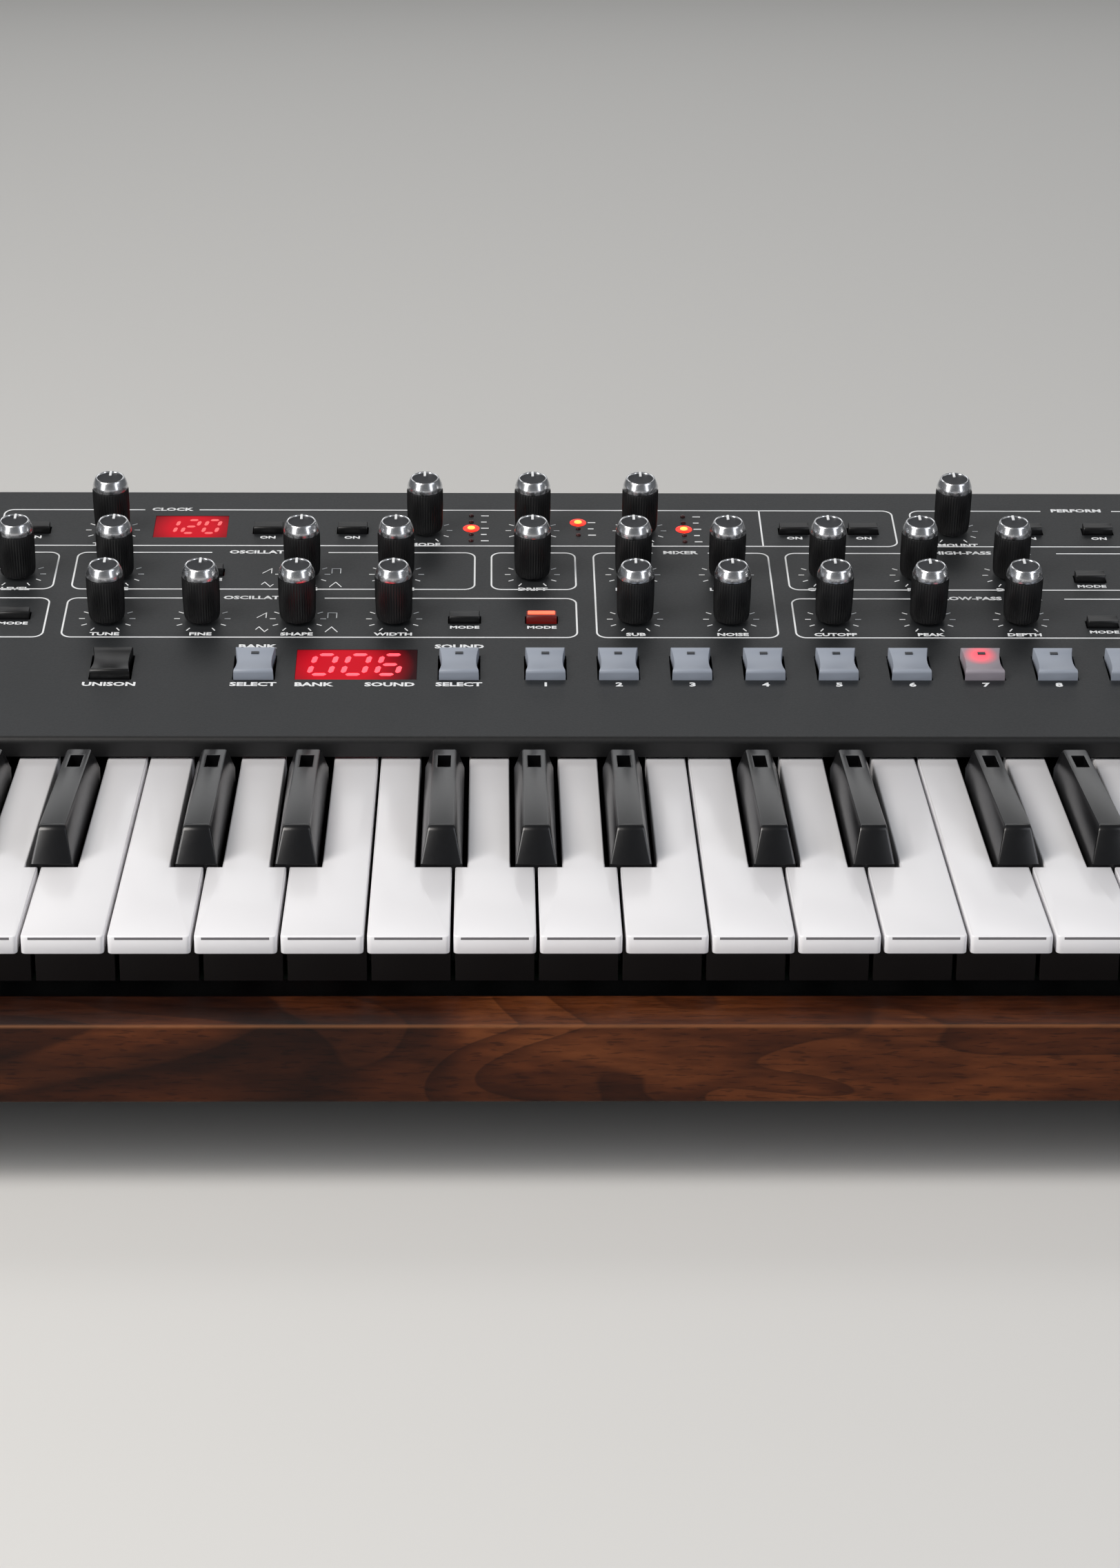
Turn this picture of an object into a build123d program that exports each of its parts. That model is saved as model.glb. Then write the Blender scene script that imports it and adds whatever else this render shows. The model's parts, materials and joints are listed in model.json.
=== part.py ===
from build123d import *
from math import radians, tan
import os

# A 49-key analogue synthesizer with walnut cheeks, in millimetres.
# +X to the player's right, +Y to the rear, +Z up. The origin is on the surface that the
# feet stand on, below the middle of the case.

# ---- case ----
WIDTH = 813.0
DEPTH = 323.0
CHEEK = 19.0
SHEET = 1.2
FOOT_HEIGHT = 11.0
INNER = WIDTH / 2 - CHEEK
FRONT = -DEPTH / 2
REAR = DEPTH / 2
REAR_PANEL_FACE = REAR - 2.0
FLOOR_TOP = FOOT_HEIGHT + SHEET
PAN_RAKE = 24.5
RAKE_WALL = 1.4
PAN_SIDE_TOP = 42.0
REAR_SEAM = 14.0
CHEEK_ABOVE_KEYS = 8.0
CHEEK_ABOVE_PANEL = 4.0
BOARD_Z = 20.0

# ---- keys ----
KEY_TOP = 66.0
KEY_FRONT = -138.9
OCTAVE = 165.0
WHITE_PITCH = OCTAVE / 7
OCTAVES = 4
KEYS_LEFT = -300.0
KEYS_RIGHT = KEYS_LEFT + OCTAVES * OCTAVE + WHITE_PITCH
KEY_GAP = 1.0
HEAD_LENGTH = 49.5
LIP_HEIGHT = 5.3
UNDERCUT = 27.0
WEIGHT_DEPTH = 25.4
NOTCH_WIDTH = 14.9
WHITE_DEPTH = 9.0
BLACK_BASE = 11.9
BLACK_TOP = 7.9
BLACK_HEIGHT = 10.5
BLACK_REAR_HEIGHT = 6.2
BLACK_START = 1.1
BLACK_LENGTH = 77.5
BLACK_WINDOW = 4.6
TAIL_WIDTH = 9.0
PIVOT_LENGTH = 190.0
PIVOT_Y = KEY_FRONT + PIVOT_LENGTH
PIVOT_Z = KEY_TOP - 12.0
PIVOT_ROD_R = 1.5
PIVOT_BORE_R = 1.55
KEYBED_TOP = 24.0
STOP_TOP = 31.0
EAR = 2.0
EAR_OFFSET = 0.4
LEG = 14.0
LEAF = 0.6
LEAF_RISE = 12.0

# ---- control panel ----
PANEL_FRONT_Y = KEY_FRONT + 135.5
PANEL_FRONT_Z = KEY_TOP + 6.8
PANEL_TILT = 10.3
PANEL_REAR_Z = PANEL_FRONT_Z + (REAR - PANEL_FRONT_Y) * tan(radians(PANEL_TILT))
PANEL_BEND = 2.0
LIP_GAP = 0.9
REAR_FLANGE = 12.0
BOARD_DEPTH = 12.0
BOARD = 1.6

# ---- knobs ----
KNOB_R = 6.1
CAP_R = 5.9
CAP_TOP_R = 4.9
CAP_SHOULDER = 17.0
DISH_R = 4.1
KNOB_HEIGHT = 20.0
CAP_START = 16.0
KNOB_GAP = 1.0
SHAFT_R = 2.4
BUSH_BORE_R = 2.7
BUSH_R = 3.5
BUSH_HOLE_R = 3.6
ROW_1 = 137.6
ROW_2 = 106.2
ROW_3 = 75.8

KNOBS = {
    "tempo_knob": (-157.9, ROW_1),
    "arp_mode_knob": (-52.5, ROW_1),
    "arp_range_knob": (-16.3, ROW_1),
    "arp_rate_knob": (19.9, ROW_1),
    "aftertouch_knob": (125.6, ROW_1),
    "osc_1_frequency_knob": (-154.0, ROW_2),
    "osc_1_shape_knob": (-92.5, ROW_2),
    "osc_1_width_knob": (-61.5, ROW_2),
    "drift_knob": (-16.6, ROW_2),
    "osc_1_level_knob": (16.7, ROW_2),
    "osc_2_level_knob": (47.7, ROW_2),
    "high_pass_cutoff_knob": (80.7, ROW_2),
    "high_pass_resonance_knob": (111.0, ROW_2),
    "high_pass_envelope_knob": (141.8, ROW_2),
    "osc_2_frequency_knob": (-154.3, ROW_3),
    "osc_2_fine_knob": (-123.6, ROW_3),
    "osc_2_shape_knob": (-92.7, ROW_3),
    "osc_2_width_knob": (-61.6, ROW_3),
    "sub_level_knob": (16.4, ROW_3),
    "noise_level_knob": (47.6, ROW_3),
    "low_pass_cutoff_knob": (80.7, ROW_3),
    "low_pass_resonance_knob": (111.4, ROW_3),
    "low_pass_envelope_knob": (141.8, ROW_3),
}
SIDE_KNOBS = (
    [(x, ROW_1) for x in (-352.0, -312.0, -272.0, -232.0, 282.0, 342.0)]
    + [(x, ROW_2) for x in (-352.0, -312.0, -279.3, -248.3, -217.3, -186.3)]
    + [(x, ROW_3) for x in (-352.0, -312.0, -279.3, -248.3)]
    + [(x, row) for row in (ROW_2, ROW_3) for x in (222.0, 262.0, 302.0, 342.0)]
)

# ---- buttons and displays ----
LARGE_WIDTH = 12.6
LARGE_DEPTH = 14.6
LARGE_HEIGHT = 3.5
LARGE_W = 43.9
PROGRAM_PITCH = 23.1
PROGRAM_LEFT = -13.0
SELECT_X = [-104.9, -40.3]
GREY_X = SELECT_X + [PROGRAM_LEFT + i * PROGRAM_PITCH for i in range(10)]
SQUARE_X = [-318.0, -272.0, -226.0, -150.0, 250.0, 285.0, 320.0]
SMALL_WIDTH = 9.8
SMALL_DEPTH = 4.2
SMALL_HEIGHT = 2.4
SMALL_BUTTONS = [
    (-184.0, 137.4), (-105.4, 137.4), (-77.0, 137.4), (72.2, 137.4), (95.6, 137.4), (151.3, 137.4),
    (175.2, 137.4), (-123.7, 107.5), (168.0, 103.5), (-38.8, 75.2), (-13.9, 75.2), (167.8, 72.5),
    (-184.4, 77.6), (-217.3, 77.6), (199.0, 137.4), (228.0, 137.4),
]
BUTTON_GAP = 0.45
FLANGE_DEPTH = 3.2
FLANGE_EDGE = 1.2
FLANGE = 1.0
STEM_END = 8.2
STEM_WIDTH = 3.6
SWITCH_WIDTH = 6.0
SWITCH_HEIGHT = 2.5
WINDOWS = {"program": (-72.8, 46.0, 38.4, 19.2), "tempo": (-131.75, 140.3, 24.8, 15.8)}
WINDOW_GAP = 0.1

# ---- wheels ----
WHEEL_PLATE_TOP = KEY_TOP + LIP_GAP - 0.1
WHEEL_PLATE_RIGHT = KEYS_LEFT - 1.2
WHEEL_X = {"pitch_wheel": -361.35, "mod_wheel": -327.35}
WHEEL_Y = -70.0
WHEEL_R = 29.0
WHEEL_WIDTH = 11.5
WHEEL_PROUD = 11.0
WHEEL_Z = WHEEL_PLATE_TOP + WHEEL_PROUD - WHEEL_R
AXLE_R = 3.0
AXLE_BORE_R = 3.05
SLOT_WIDTH = 13.5
SLOT_LENGTH = 50.0
MOD_REST_ANGLE = 35.0

# ---- front rail ----
RAIL_TOP = KEY_TOP - 16.3
RAIL_BOTTOM = KEY_TOP - 39.3
RAIL_THICKNESS = 19.0
RAIL_REAR = FRONT + RAIL_THICKNESS

# ---- rear connections ----
REAR_Z = 52.0
SOCKET_HEIGHT = 20.0
JACK_PITCH = 24.0
JACK_X = [-300.0 + JACK_PITCH * i for i in range(8)]
JACK_R = 3.2
JACK_DEPTH = 24.0
DATA_PITCH = 26.0
DATA_X = [-60.0 + DATA_PITCH * i for i in range(4)]
DIN_R = 6.6
DATA_DEPTH = 9.0
USB_WIDTH = 9.0
USB_HEIGHT = 8.2
INLET_X = 320.0
INLET_BODY = 28.0
INLET_WIDTH = 24.4
INLET_HEIGHT = 16.6
INLET_DEPTH = 16.0
SWITCH_X = 276.0
ROCKER_BODY = 18.0
ROCKER_WIDTH = 14.4
ROCKER_HEIGHT = 16.4
ROCKER_DEPTH = 3.2
ROCKER_TILT = 6.0
ROCKER_PIN_R = 1.5
ROCKER_Y = REAR_PANEL_FACE - 3.0
REAR_SCREW_X = (-378.0, -96.0, 96.0, 378.0)
REAR_SCREW_Z = (32.0, 84.0)
REAR_SCREW_R = 1.5

# ---- cheek screws ----
CHEEK_SCREWS = ((-120.0, 34.0), (10.0, 34.0), (135.0, 34.0))
SCREW_R = 2.0
SCREW_HEAD_R = 4.0
SCREW_HEAD = 2.2
SCREW_SLACK = 0.2

BLACK_CENTRES = {1: 21.0, 3: 49.4, 6: 90.8, 8: 117.9, 10: 144.9}
WHITE_STEPS = {0: 0, 2: 1, 4: 2, 5: 3, 7: 4, 9: 5, 11: 6}
NOTE_NAMES = ("c", "c_sharp", "d", "d_sharp", "e", "f", "f_sharp", "g", "g_sharp", "a", "a_sharp", "b")

PANEL = Pos(0, PANEL_FRONT_Y, PANEL_FRONT_Z) * Rot(PANEL_TILT, 0, 0)


def block(x, y, z):
    """A box between three pairs of planes."""
    size = (x[1] - x[0], y[1] - y[0], z[1] - z[0])
    middle = ((x[0] + x[1]) / 2, (y[0] + y[1]) / 2, (z[0] + z[1]) / 2)
    return Pos(*middle) * Box(*size)


def centred(x, y, width, depth, z):
    """A box of a given plan size about (x, y), between two heights."""
    return block((x - width / 2, x + width / 2), (y - depth / 2, y + depth / 2), z)


def y_centred(x, y, width, height):
    """A box between two planes across Y, about (x, REAR_Z)."""
    return block((x - width / 2, x + width / 2), y, (REAR_Z - height / 2, REAR_Z + height / 2))


def rod_x(x, y, z, r):
    """A rod along X between two planes."""
    return Pos((x[0] + x[1]) / 2, y, z) * Rot(0, 90, 0) * Cylinder(r, x[1] - x[0])


def rod_y(x, y, z, r):
    """A rod along Y between two planes."""
    return Pos(x, (y[0] + y[1]) / 2, z) * Rot(90, 0, 0) * Cylinder(r, y[1] - y[0])


def rod_z(x, y, z, r):
    """A rod along Z between two heights."""
    return Pos(x, y, (z[0] + z[1]) / 2) * Cylinder(r, z[1] - z[0])


def prism_x(points, x):
    """A side profile of (y, z) points, drawn out along X."""
    face = Plane.YZ.offset(x[0]) * make_face(Polyline(*points, close=True))
    return extrude(face, x[1] - x[0])


def union(solids):
    """One solid from several that meet."""
    total = solids[0]
    for solid in solids[1:]:
        total = total + solid
    return total


def write(name, solids):
    """Write one node: a solid, or a group of separate solids."""
    shapes = solids if isinstance(solids, list) else [solids]
    pieces = [piece for shape in shapes for piece in shape.solids()]
    shape = pieces[0] if len(pieces) == 1 else Compound(children=pieces)
    export_step(shape, f"parts/{name}.step")


def all_knobs():
    return list(KNOBS.values()) + SIDE_KNOBS


def buttons():
    """Every push button, grey ones then black ones: place, width, depth and height."""
    grey = [(x, LARGE_W, LARGE_WIDTH, LARGE_DEPTH, LARGE_HEIGHT) for x in GREY_X]
    square = [(x, LARGE_W, LARGE_WIDTH, LARGE_DEPTH, LARGE_HEIGHT) for x in SQUARE_X]
    small = [(x, w, SMALL_WIDTH, SMALL_DEPTH, SMALL_HEIGHT) for x, w in SMALL_BUTTONS]
    return grey, small + square


# ---------------------------------------------------------------- case

def base_pan():
    """Welded steel tray: floor, raked and upright front plates, sides, rear flange and pillars."""
    x = (-INNER, INNER)
    slant_y = RAIL_REAR + PAN_RAKE
    inside_rear = REAR_PANEL_FACE - SHEET
    rake = [
        (slant_y, FOOT_HEIGHT), (RAIL_REAR, RAIL_BOTTOM),
        (RAIL_REAR, RAIL_BOTTOM + RAKE_WALL), (slant_y, FOOT_HEIGHT + RAKE_WALL),
    ]
    plates = [
        block(x, (slant_y, REAR_PANEL_FACE), (FOOT_HEIGHT, FLOOR_TOP)),
        prism_x(rake, x),
        block(x, (RAIL_REAR, RAIL_REAR + SHEET), (RAIL_BOTTOM + RAKE_WALL, RAIL_TOP - 3)),
        block(x, (inside_rear, REAR_PANEL_FACE), (FLOOR_TOP, FOOT_HEIGHT + REAR_SEAM)),
    ]
    for side in (-1, 1):
        edge = sorted((side * (INNER - SHEET), side * INNER))
        wall = block(edge, (slant_y, inside_rear), (FLOOR_TOP, PAN_SIDE_TOP))
        for y, z in CHEEK_SCREWS:
            wall -= rod_x((edge[0] - 1, edge[1] + 1), y, z, SCREW_R + SCREW_SLACK)
        plates.append(wall)
    for px in (-180.0, 0.0, 180.0):
        for py in (83.0, 143.0):
            plates.append(rod_z(px, py, (FLOOR_TOP, BOARD_Z), 3.0))
    return plates


def is_outer_bend(edge):
    """True for the panel's two outer folds."""
    y, z = edge.center().Y, edge.center().Z
    front = abs(y - PANEL_FRONT_Y) < 0.1 and abs(z - PANEL_FRONT_Z) < 0.1
    rear = abs(y - REAR) < 0.1 and abs(z - PANEL_REAR_Z) < 0.1
    return front or rear


def control_panel():
    """Powder-coated steel panel: front lip, sloping face, rear flange and all its openings."""
    t = SHEET
    top_drop = t * tan(radians((90 - PANEL_TILT) / 2))
    rear_drop = t * tan(radians((90 + PANEL_TILT) / 2))
    profile = [
        (PANEL_FRONT_Y, KEY_TOP + LIP_GAP), (PANEL_FRONT_Y, PANEL_FRONT_Z), (REAR, PANEL_REAR_Z),
        (REAR, PANEL_REAR_Z - REAR_FLANGE), (REAR - t, PANEL_REAR_Z - REAR_FLANGE),
        (REAR - t, PANEL_REAR_Z - rear_drop), (PANEL_FRONT_Y + t, PANEL_FRONT_Z - top_drop),
        (PANEL_FRONT_Y + t, KEY_TOP + LIP_GAP),
    ]
    panel = prism_x(profile, (-INNER, INNER))
    bends = panel.edges().filter_by(Axis.X).filter_by(is_outer_bend)
    panel = fillet(bends, PANEL_BEND)
    cut = (-t - 1, 1)
    holes = [PANEL * rod_z(x, w, cut, BUSH_HOLE_R) for x, w in all_knobs()]
    for group in buttons():
        for x, w, width, depth, _ in group:
            holes.append(PANEL * centred(x, w, width + 2 * BUTTON_GAP, depth + 2 * BUTTON_GAP, cut))
    for x, w, width, depth in WINDOWS.values():
        holes.append(PANEL * centred(x, w, width, depth, cut))
    return panel - holes


def display_windows():
    """Clear red acrylic windows set flush in the panel."""
    windows = []
    for x, w, width, depth in WINDOWS.values():
        gap = 2 * WINDOW_GAP
        windows.append(PANEL * centred(x, w, width - gap, depth - gap, (-SHEET, -0.1)))
    return windows


def rear_panel():
    """Two steel rails across the back, with blanking plates between the rows of sockets."""
    y = (REAR_PANEL_FACE - SHEET, REAR_PANEL_FACE)
    cut = (y[0] - 1, y[1] + 1)
    band = (REAR_Z - SOCKET_HEIGHT / 2 - 0.1, REAR_Z + SOCKET_HEIGHT / 2 + 0.1)
    lower = block((-INNER, INNER), y, (FOOT_HEIGHT + REAR_SEAM + 0.2, band[0]))
    upper = block((-INNER, INNER), y, (band[1], PANEL_REAR_Z - REAR_FLANGE - 0.2))
    for x in REAR_SCREW_X:
        lower -= rod_y(x, cut, REAR_SCREW_Z[0], REAR_SCREW_R + 0.1)
        upper -= rod_y(x, cut, REAR_SCREW_Z[1], REAR_SCREW_R + 0.1)
    windows = [
        (JACK_X[0] - JACK_PITCH / 2, JACK_X[-1] + JACK_PITCH / 2),
        (DATA_X[0] - DATA_PITCH / 2, DATA_X[-1] + DATA_PITCH / 2),
        (SWITCH_X - ROCKER_BODY / 2, SWITCH_X + ROCKER_BODY / 2),
        (INLET_X - INLET_BODY / 2, INLET_X + INLET_BODY / 2),
    ]
    starts = [-INNER] + [right + 0.1 for _, right in windows]
    ends = [left - 0.1 for left, _ in windows] + [INNER]
    blanks = [block(pair, y, band) for pair in zip(starts, ends)]
    return [lower, upper] + blanks


def cheek(side):
    """Walnut end cheek: level beside the keys, then rising with the panel."""
    inner, outer = side * INNER, side * WIDTH / 2
    x = sorted((inner, outer))
    bottom = FOOT_HEIGHT + 4
    arm_top = KEY_TOP + CHEEK_ABOVE_KEYS
    points = [
        (FRONT, bottom), (FRONT, arm_top), (PANEL_FRONT_Y - 18, arm_top),
        (REAR, PANEL_REAR_Z + CHEEK_ABOVE_PANEL), (REAR, bottom),
    ]
    body = prism_x(points, x)
    corners = body.edges().filter_by(Axis.X)
    body = fillet(corners.filter_by(lambda e: e.center().Y < FRONT + 1 and e.center().Z > KEY_TOP), 9.0)
    body = fillet(body.edges().filter_by(Axis.X).filter_by(lambda e: e.center().Z > PANEL_REAR_Z), 5.0)
    for y, z in CHEEK_SCREWS:
        body -= rod_x((x[0] - 1, x[1] + 1), y, z, SCREW_R + SCREW_SLACK)
        recess = sorted((outer - side * (SCREW_HEAD + 0.8), outer + side))
        body -= rod_x(recess, y, z, SCREW_HEAD_R + 0.5)
    return body


def front_rail():
    """Walnut strip across the front, below the keys."""
    rail = block((-INNER, INNER), (FRONT, RAIL_REAR), (RAIL_BOTTOM, RAIL_TOP))
    arris = rail.edges().filter_by(Axis.X).filter_by(lambda e: e.center().Y < FRONT + 1)
    return fillet(arris, 0.9)


def rubber_feet():
    return [
        Pos(x, y, 0) * Cone(10.0, 12.0, FOOT_HEIGHT, align=(Align.CENTER, Align.CENTER, Align.MIN))
        for x in (-345.0, 345.0) for y in (-90.0, 132.0)
    ]


def case_screws():
    """Button-head screws through the cheeks, and pan-head screws in the rear panel."""
    screws = []
    for side in (-1, 1):
        head_out = side * (WIDTH / 2 - 0.6)
        head_in = head_out - side * SCREW_HEAD
        tip = side * (INNER - 4.0)
        for y, z in CHEEK_SCREWS:
            head = rod_x(sorted((head_in, head_out)), y, z, SCREW_HEAD_R)
            socket = rod_x(sorted((head_out - side * 1.2, head_out + side)), y, z, 1.3)
            screws.append(head + rod_x(sorted((tip, head_in)), y, z, SCREW_R) - socket)
    for x in REAR_SCREW_X:
        for z in REAR_SCREW_Z:
            head = rod_y(x, (REAR_PANEL_FACE, REAR_PANEL_FACE + 1.6), z, 2 * REAR_SCREW_R)
            slot = block((x - 2.2, x + 2.2), (REAR_PANEL_FACE + 0.8, REAR), (z - 0.4, z + 0.4))
            shank = rod_y(x, (REAR_PANEL_FACE - 6, REAR_PANEL_FACE), z, REAR_SCREW_R)
            screws.append(head + shank - slot)
    return screws


# ---------------------------------------------------------------- keys

def black_centre(semitone, octave):
    return KEYS_LEFT + octave * OCTAVE + BLACK_CENTRES[semitone]


def white_sides(semitone, octave):
    """Left and right faces of a white key's head and of the part between the black keys."""
    left = KEYS_LEFT + octave * OCTAVE + WHITE_STEPS[semitone] * WHITE_PITCH + KEY_GAP / 2
    right = left + WHITE_PITCH - KEY_GAP
    narrow_left, narrow_right = left, right
    if semitone - 1 in BLACK_CENTRES:
        narrow_left = black_centre(semitone - 1, octave) + NOTCH_WIDTH / 2
    if semitone + 1 in BLACK_CENTRES and octave < OCTAVES:
        narrow_right = black_centre(semitone + 1, octave) - NOTCH_WIDTH / 2
    return (left, right), (narrow_left, narrow_right)


def key_tail(x):
    """Rear of a key lever, bored for the pivot rod."""
    half = TAIL_WIDTH / 2
    tail = block((x - half, x + half), (PANEL_FRONT_Y - 4, PIVOT_Y + 5), (PIVOT_Z - 4.5, PIVOT_Z + 4.5))
    return tail - rod_x((x - half - 1, x + half + 1), PIVOT_Y, PIVOT_Z, PIVOT_BORE_R)


def white_key(semitone, octave):
    head, narrow = white_sides(semitone, octave)
    shoulder = KEY_FRONT + HEAD_LENGTH
    top = block(head, (KEY_FRONT, shoulder), (KEY_TOP - LIP_HEIGHT, KEY_TOP))
    corners = top.edges().filter_by(Axis.Z).filter_by(lambda e: e.center().Y < KEY_FRONT + 1)
    top = fillet(corners, 1.2)
    inset = (head[0] + 0.8, head[1] - 0.8)
    weight = block(inset, (KEY_FRONT + UNDERCUT, shoulder), (KEY_TOP - WEIGHT_DEPTH, KEY_TOP - LIP_HEIGHT))
    lever = block(narrow, (shoulder - 1, PANEL_FRONT_Y + 6), (KEY_TOP - WHITE_DEPTH, KEY_TOP))
    return union([top, weight, lever, key_tail((narrow[0] + narrow[1]) / 2)])


def black_key(semitone, octave):
    """Tapered cap above the whites, on a lever that runs under the panel's lip."""
    x = black_centre(semitone, octave)
    start = KEY_FRONT + HEAD_LENGTH + BLACK_START
    end = start + BLACK_LENGTH
    side = [
        (start, KEY_TOP - 1.5), (start, KEY_TOP), (start + 3.5, KEY_TOP + BLACK_HEIGHT - 1.5),
        (start + 6.0, KEY_TOP + BLACK_HEIGHT), (end, KEY_TOP + BLACK_REAR_HEIGHT), (end, KEY_TOP - 1.5),
    ]
    flare = (BLACK_BASE - BLACK_TOP) / 2 / BLACK_HEIGHT
    low, high = BLACK_BASE / 2 + 1.5 * flare, BLACK_TOP / 2 - flare
    section = [
        (x - low, KEY_TOP - 1.5), (x + low, KEY_TOP - 1.5),
        (x + high, KEY_TOP + BLACK_HEIGHT + 1), (x - high, KEY_TOP + BLACK_HEIGHT + 1),
    ]
    front_face = Plane.XZ.offset(-start + 1) * make_face(Polyline(*section, close=True))
    cap = prism_x(side, (x - 10, x + 10)) & extrude(front_face, -(BLACK_LENGTH + 2))
    half = BLACK_BASE / 2
    lever = block((x - half, x + half), (start, PANEL_FRONT_Y + 6), (KEY_TOP - 16, KEY_TOP - 1.0))
    window_x = (x - BLACK_WINDOW / 2, x + BLACK_WINDOW / 2)
    cap -= block(window_x, (end - 14.5, end - 3.0), (KEY_TOP + 1.5, KEY_TOP + BLACK_HEIGHT))
    return union([lever, cap, key_tail(x)])


def key_group(semitone):
    """All the keys of one note name."""
    count = OCTAVES + 1 if semitone == 0 else OCTAVES
    make = black_key if semitone in BLACK_CENTRES else white_key
    return [make(semitone, octave) for octave in range(count)]


def keybed_frame():
    """Welded keybed: floor on legs, boxed stop rail, rear upright, ears, and the pivot rod."""
    left, right = KEYS_LEFT - EAR, KEYS_RIGHT + EAR
    x = (left, right)
    front = KEY_FRONT + UNDERCUT
    rear = PIVOT_Y + 11
    stop_rear = KEY_FRONT + HEAD_LENGTH
    wall = (KEYBED_TOP, STOP_TOP - SHEET)
    plates = [
        block(x, (front, rear), (KEYBED_TOP - SHEET, KEYBED_TOP)),
        block(x, (front, front + SHEET), wall),
        block(x, (front, stop_rear), (STOP_TOP - SHEET, STOP_TOP)),
        block(x, (stop_rear - SHEET, stop_rear), wall),
        block(x, (rear - SHEET, rear), (KEYBED_TOP, PIVOT_Z + 6)),
    ]
    ears = [(left, left + EAR), (right - EAR, right)]
    for octave in range(1, OCTAVES + 1):
        middle = KEYS_LEFT + octave * OCTAVE + EAR_OFFSET
        ears.append((middle - EAR / 2, middle + EAR / 2))
    rod = rod_x(x, PIVOT_Y, PIVOT_Z, PIVOT_ROD_R)
    for ear in ears:
        plates.append(block(ear, (PIVOT_Y - 7, rear - SHEET), (KEYBED_TOP, PIVOT_Z + 6)) - rod)
    for leg_x in (left + 10, -100.0, 180.0, right - 10):
        for leg_y in (front + 12, PIVOT_Y):
            plates.append(centred(leg_x, leg_y, LEG, LEG, (FLOOR_TOP, KEYBED_TOP - SHEET)))
    return plates + [rod]


def key_springs():
    """One leaf spring under each key, rooted on the keybed floor."""
    springs = []
    for octave in range(OCTAVES + 1):
        for semitone in range(12 if octave < OCTAVES else 1):
            if semitone in BLACK_CENTRES:
                x = black_centre(semitone, octave)
            else:
                narrow = white_sides(semitone, octave)[1]
                x = (narrow[0] + narrow[1]) / 2
            root, tip, z = PIVOT_Y - 44, PIVOT_Y - 68, KEYBED_TOP
            leaf = [
                (root, z), (root + 8, z), (root + 8, z + LEAF), (root + 1, z + LEAF),
                (tip, z + LEAF_RISE + LEAF), (tip, z + LEAF_RISE),
            ]
            springs.append(prism_x(leaf, (x - 2.5, x + 2.5)))
    return springs


def key_contact_board():
    """Circuit board on the keybed floor, with a row of contact domes."""
    z = (KEYBED_TOP + 2, KEYBED_TOP + 2 + BOARD)
    board = block((KEYS_LEFT + 2, KEYS_RIGHT - 2), (-85.0, -52.0), z)
    spacers = [centred(x, -68.0, 8.0, 8.0, (KEYBED_TOP, z[0])) for x in (-280.0, -60.0, 160.0, 370.0)]
    domes = block((KEYS_LEFT + 4, KEYS_RIGHT - 4), (-76.0, -64.0), (z[1], STOP_TOP))
    return union([board, domes] + spacers)


# ---------------------------------------------------------------- panel controls

def knob_shape():
    """Turned knob with a shouldered cap, a pointer groove and its shaft."""
    profile = [
        (0, -9.0), (SHAFT_R, -9.0), (SHAFT_R, KNOB_GAP), (KNOB_R - 0.3, KNOB_GAP), (KNOB_R, 3.0),
        (KNOB_R, CAP_START - 0.3), (CAP_R, CAP_START), (CAP_R, CAP_SHOULDER), (CAP_TOP_R, KNOB_HEIGHT - 0.4),
        (CAP_TOP_R - 0.4, KNOB_HEIGHT), (DISH_R, KNOB_HEIGHT - 0.5), (0, KNOB_HEIGHT - 0.5),
    ]
    body = revolve(Plane.XZ * make_face(Polyline(*profile, close=True)), Axis.Z)
    return body - block((-0.5, 0.5), (1.5, DISH_R), (KNOB_HEIGHT - 0.8, KNOB_HEIGHT))


def potentiometers():
    """Rotary controls under every knob: housing on the board, bush through the panel."""
    pots = []
    for x, w in all_knobs():
        housing = centred(x, w, 10.0, 11.0, (-BOARD_DEPTH, -5.5))
        bush = rod_z(x, w, (-5.5, 0.0), BUSH_R)
        pots.append(PANEL * (housing + bush - rod_z(x, w, (-9.5, 1.0), BUSH_BORE_R)))
    return pots


def button_cap(x, w, width, depth, height):
    """Push button: cap, retaining flange below the panel, and stem."""
    cap = centred(x, w, width, depth, (-FLANGE_DEPTH - FLANGE, height))
    cap = fillet(cap.faces().sort_by(Axis.Z)[-1].edges(), 0.5)
    edge = 2 * FLANGE_EDGE
    flange = centred(x, w, width + edge, depth + edge, (-FLANGE_DEPTH - FLANGE, -FLANGE_DEPTH))
    stem = centred(x, w, STEM_WIDTH, STEM_WIDTH, (-STEM_END, -FLANGE_DEPTH))
    return PANEL * (cap + flange + stem)


def panel_board():
    """Circuit board under the panel, with a switch under each button."""
    board = centred(0, 94.0, 750.0, 128.0, (-BOARD_DEPTH - BOARD, -BOARD_DEPTH))
    z = (-BOARD_DEPTH, -BOARD_DEPTH + SWITCH_HEIGHT)
    places = [button[:2] for group in buttons() for button in group]
    return [PANEL * board] + [PANEL * centred(x, w, SWITCH_WIDTH, SWITCH_WIDTH, z) for x, w in places]


# ---------------------------------------------------------------- wheels

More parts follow.
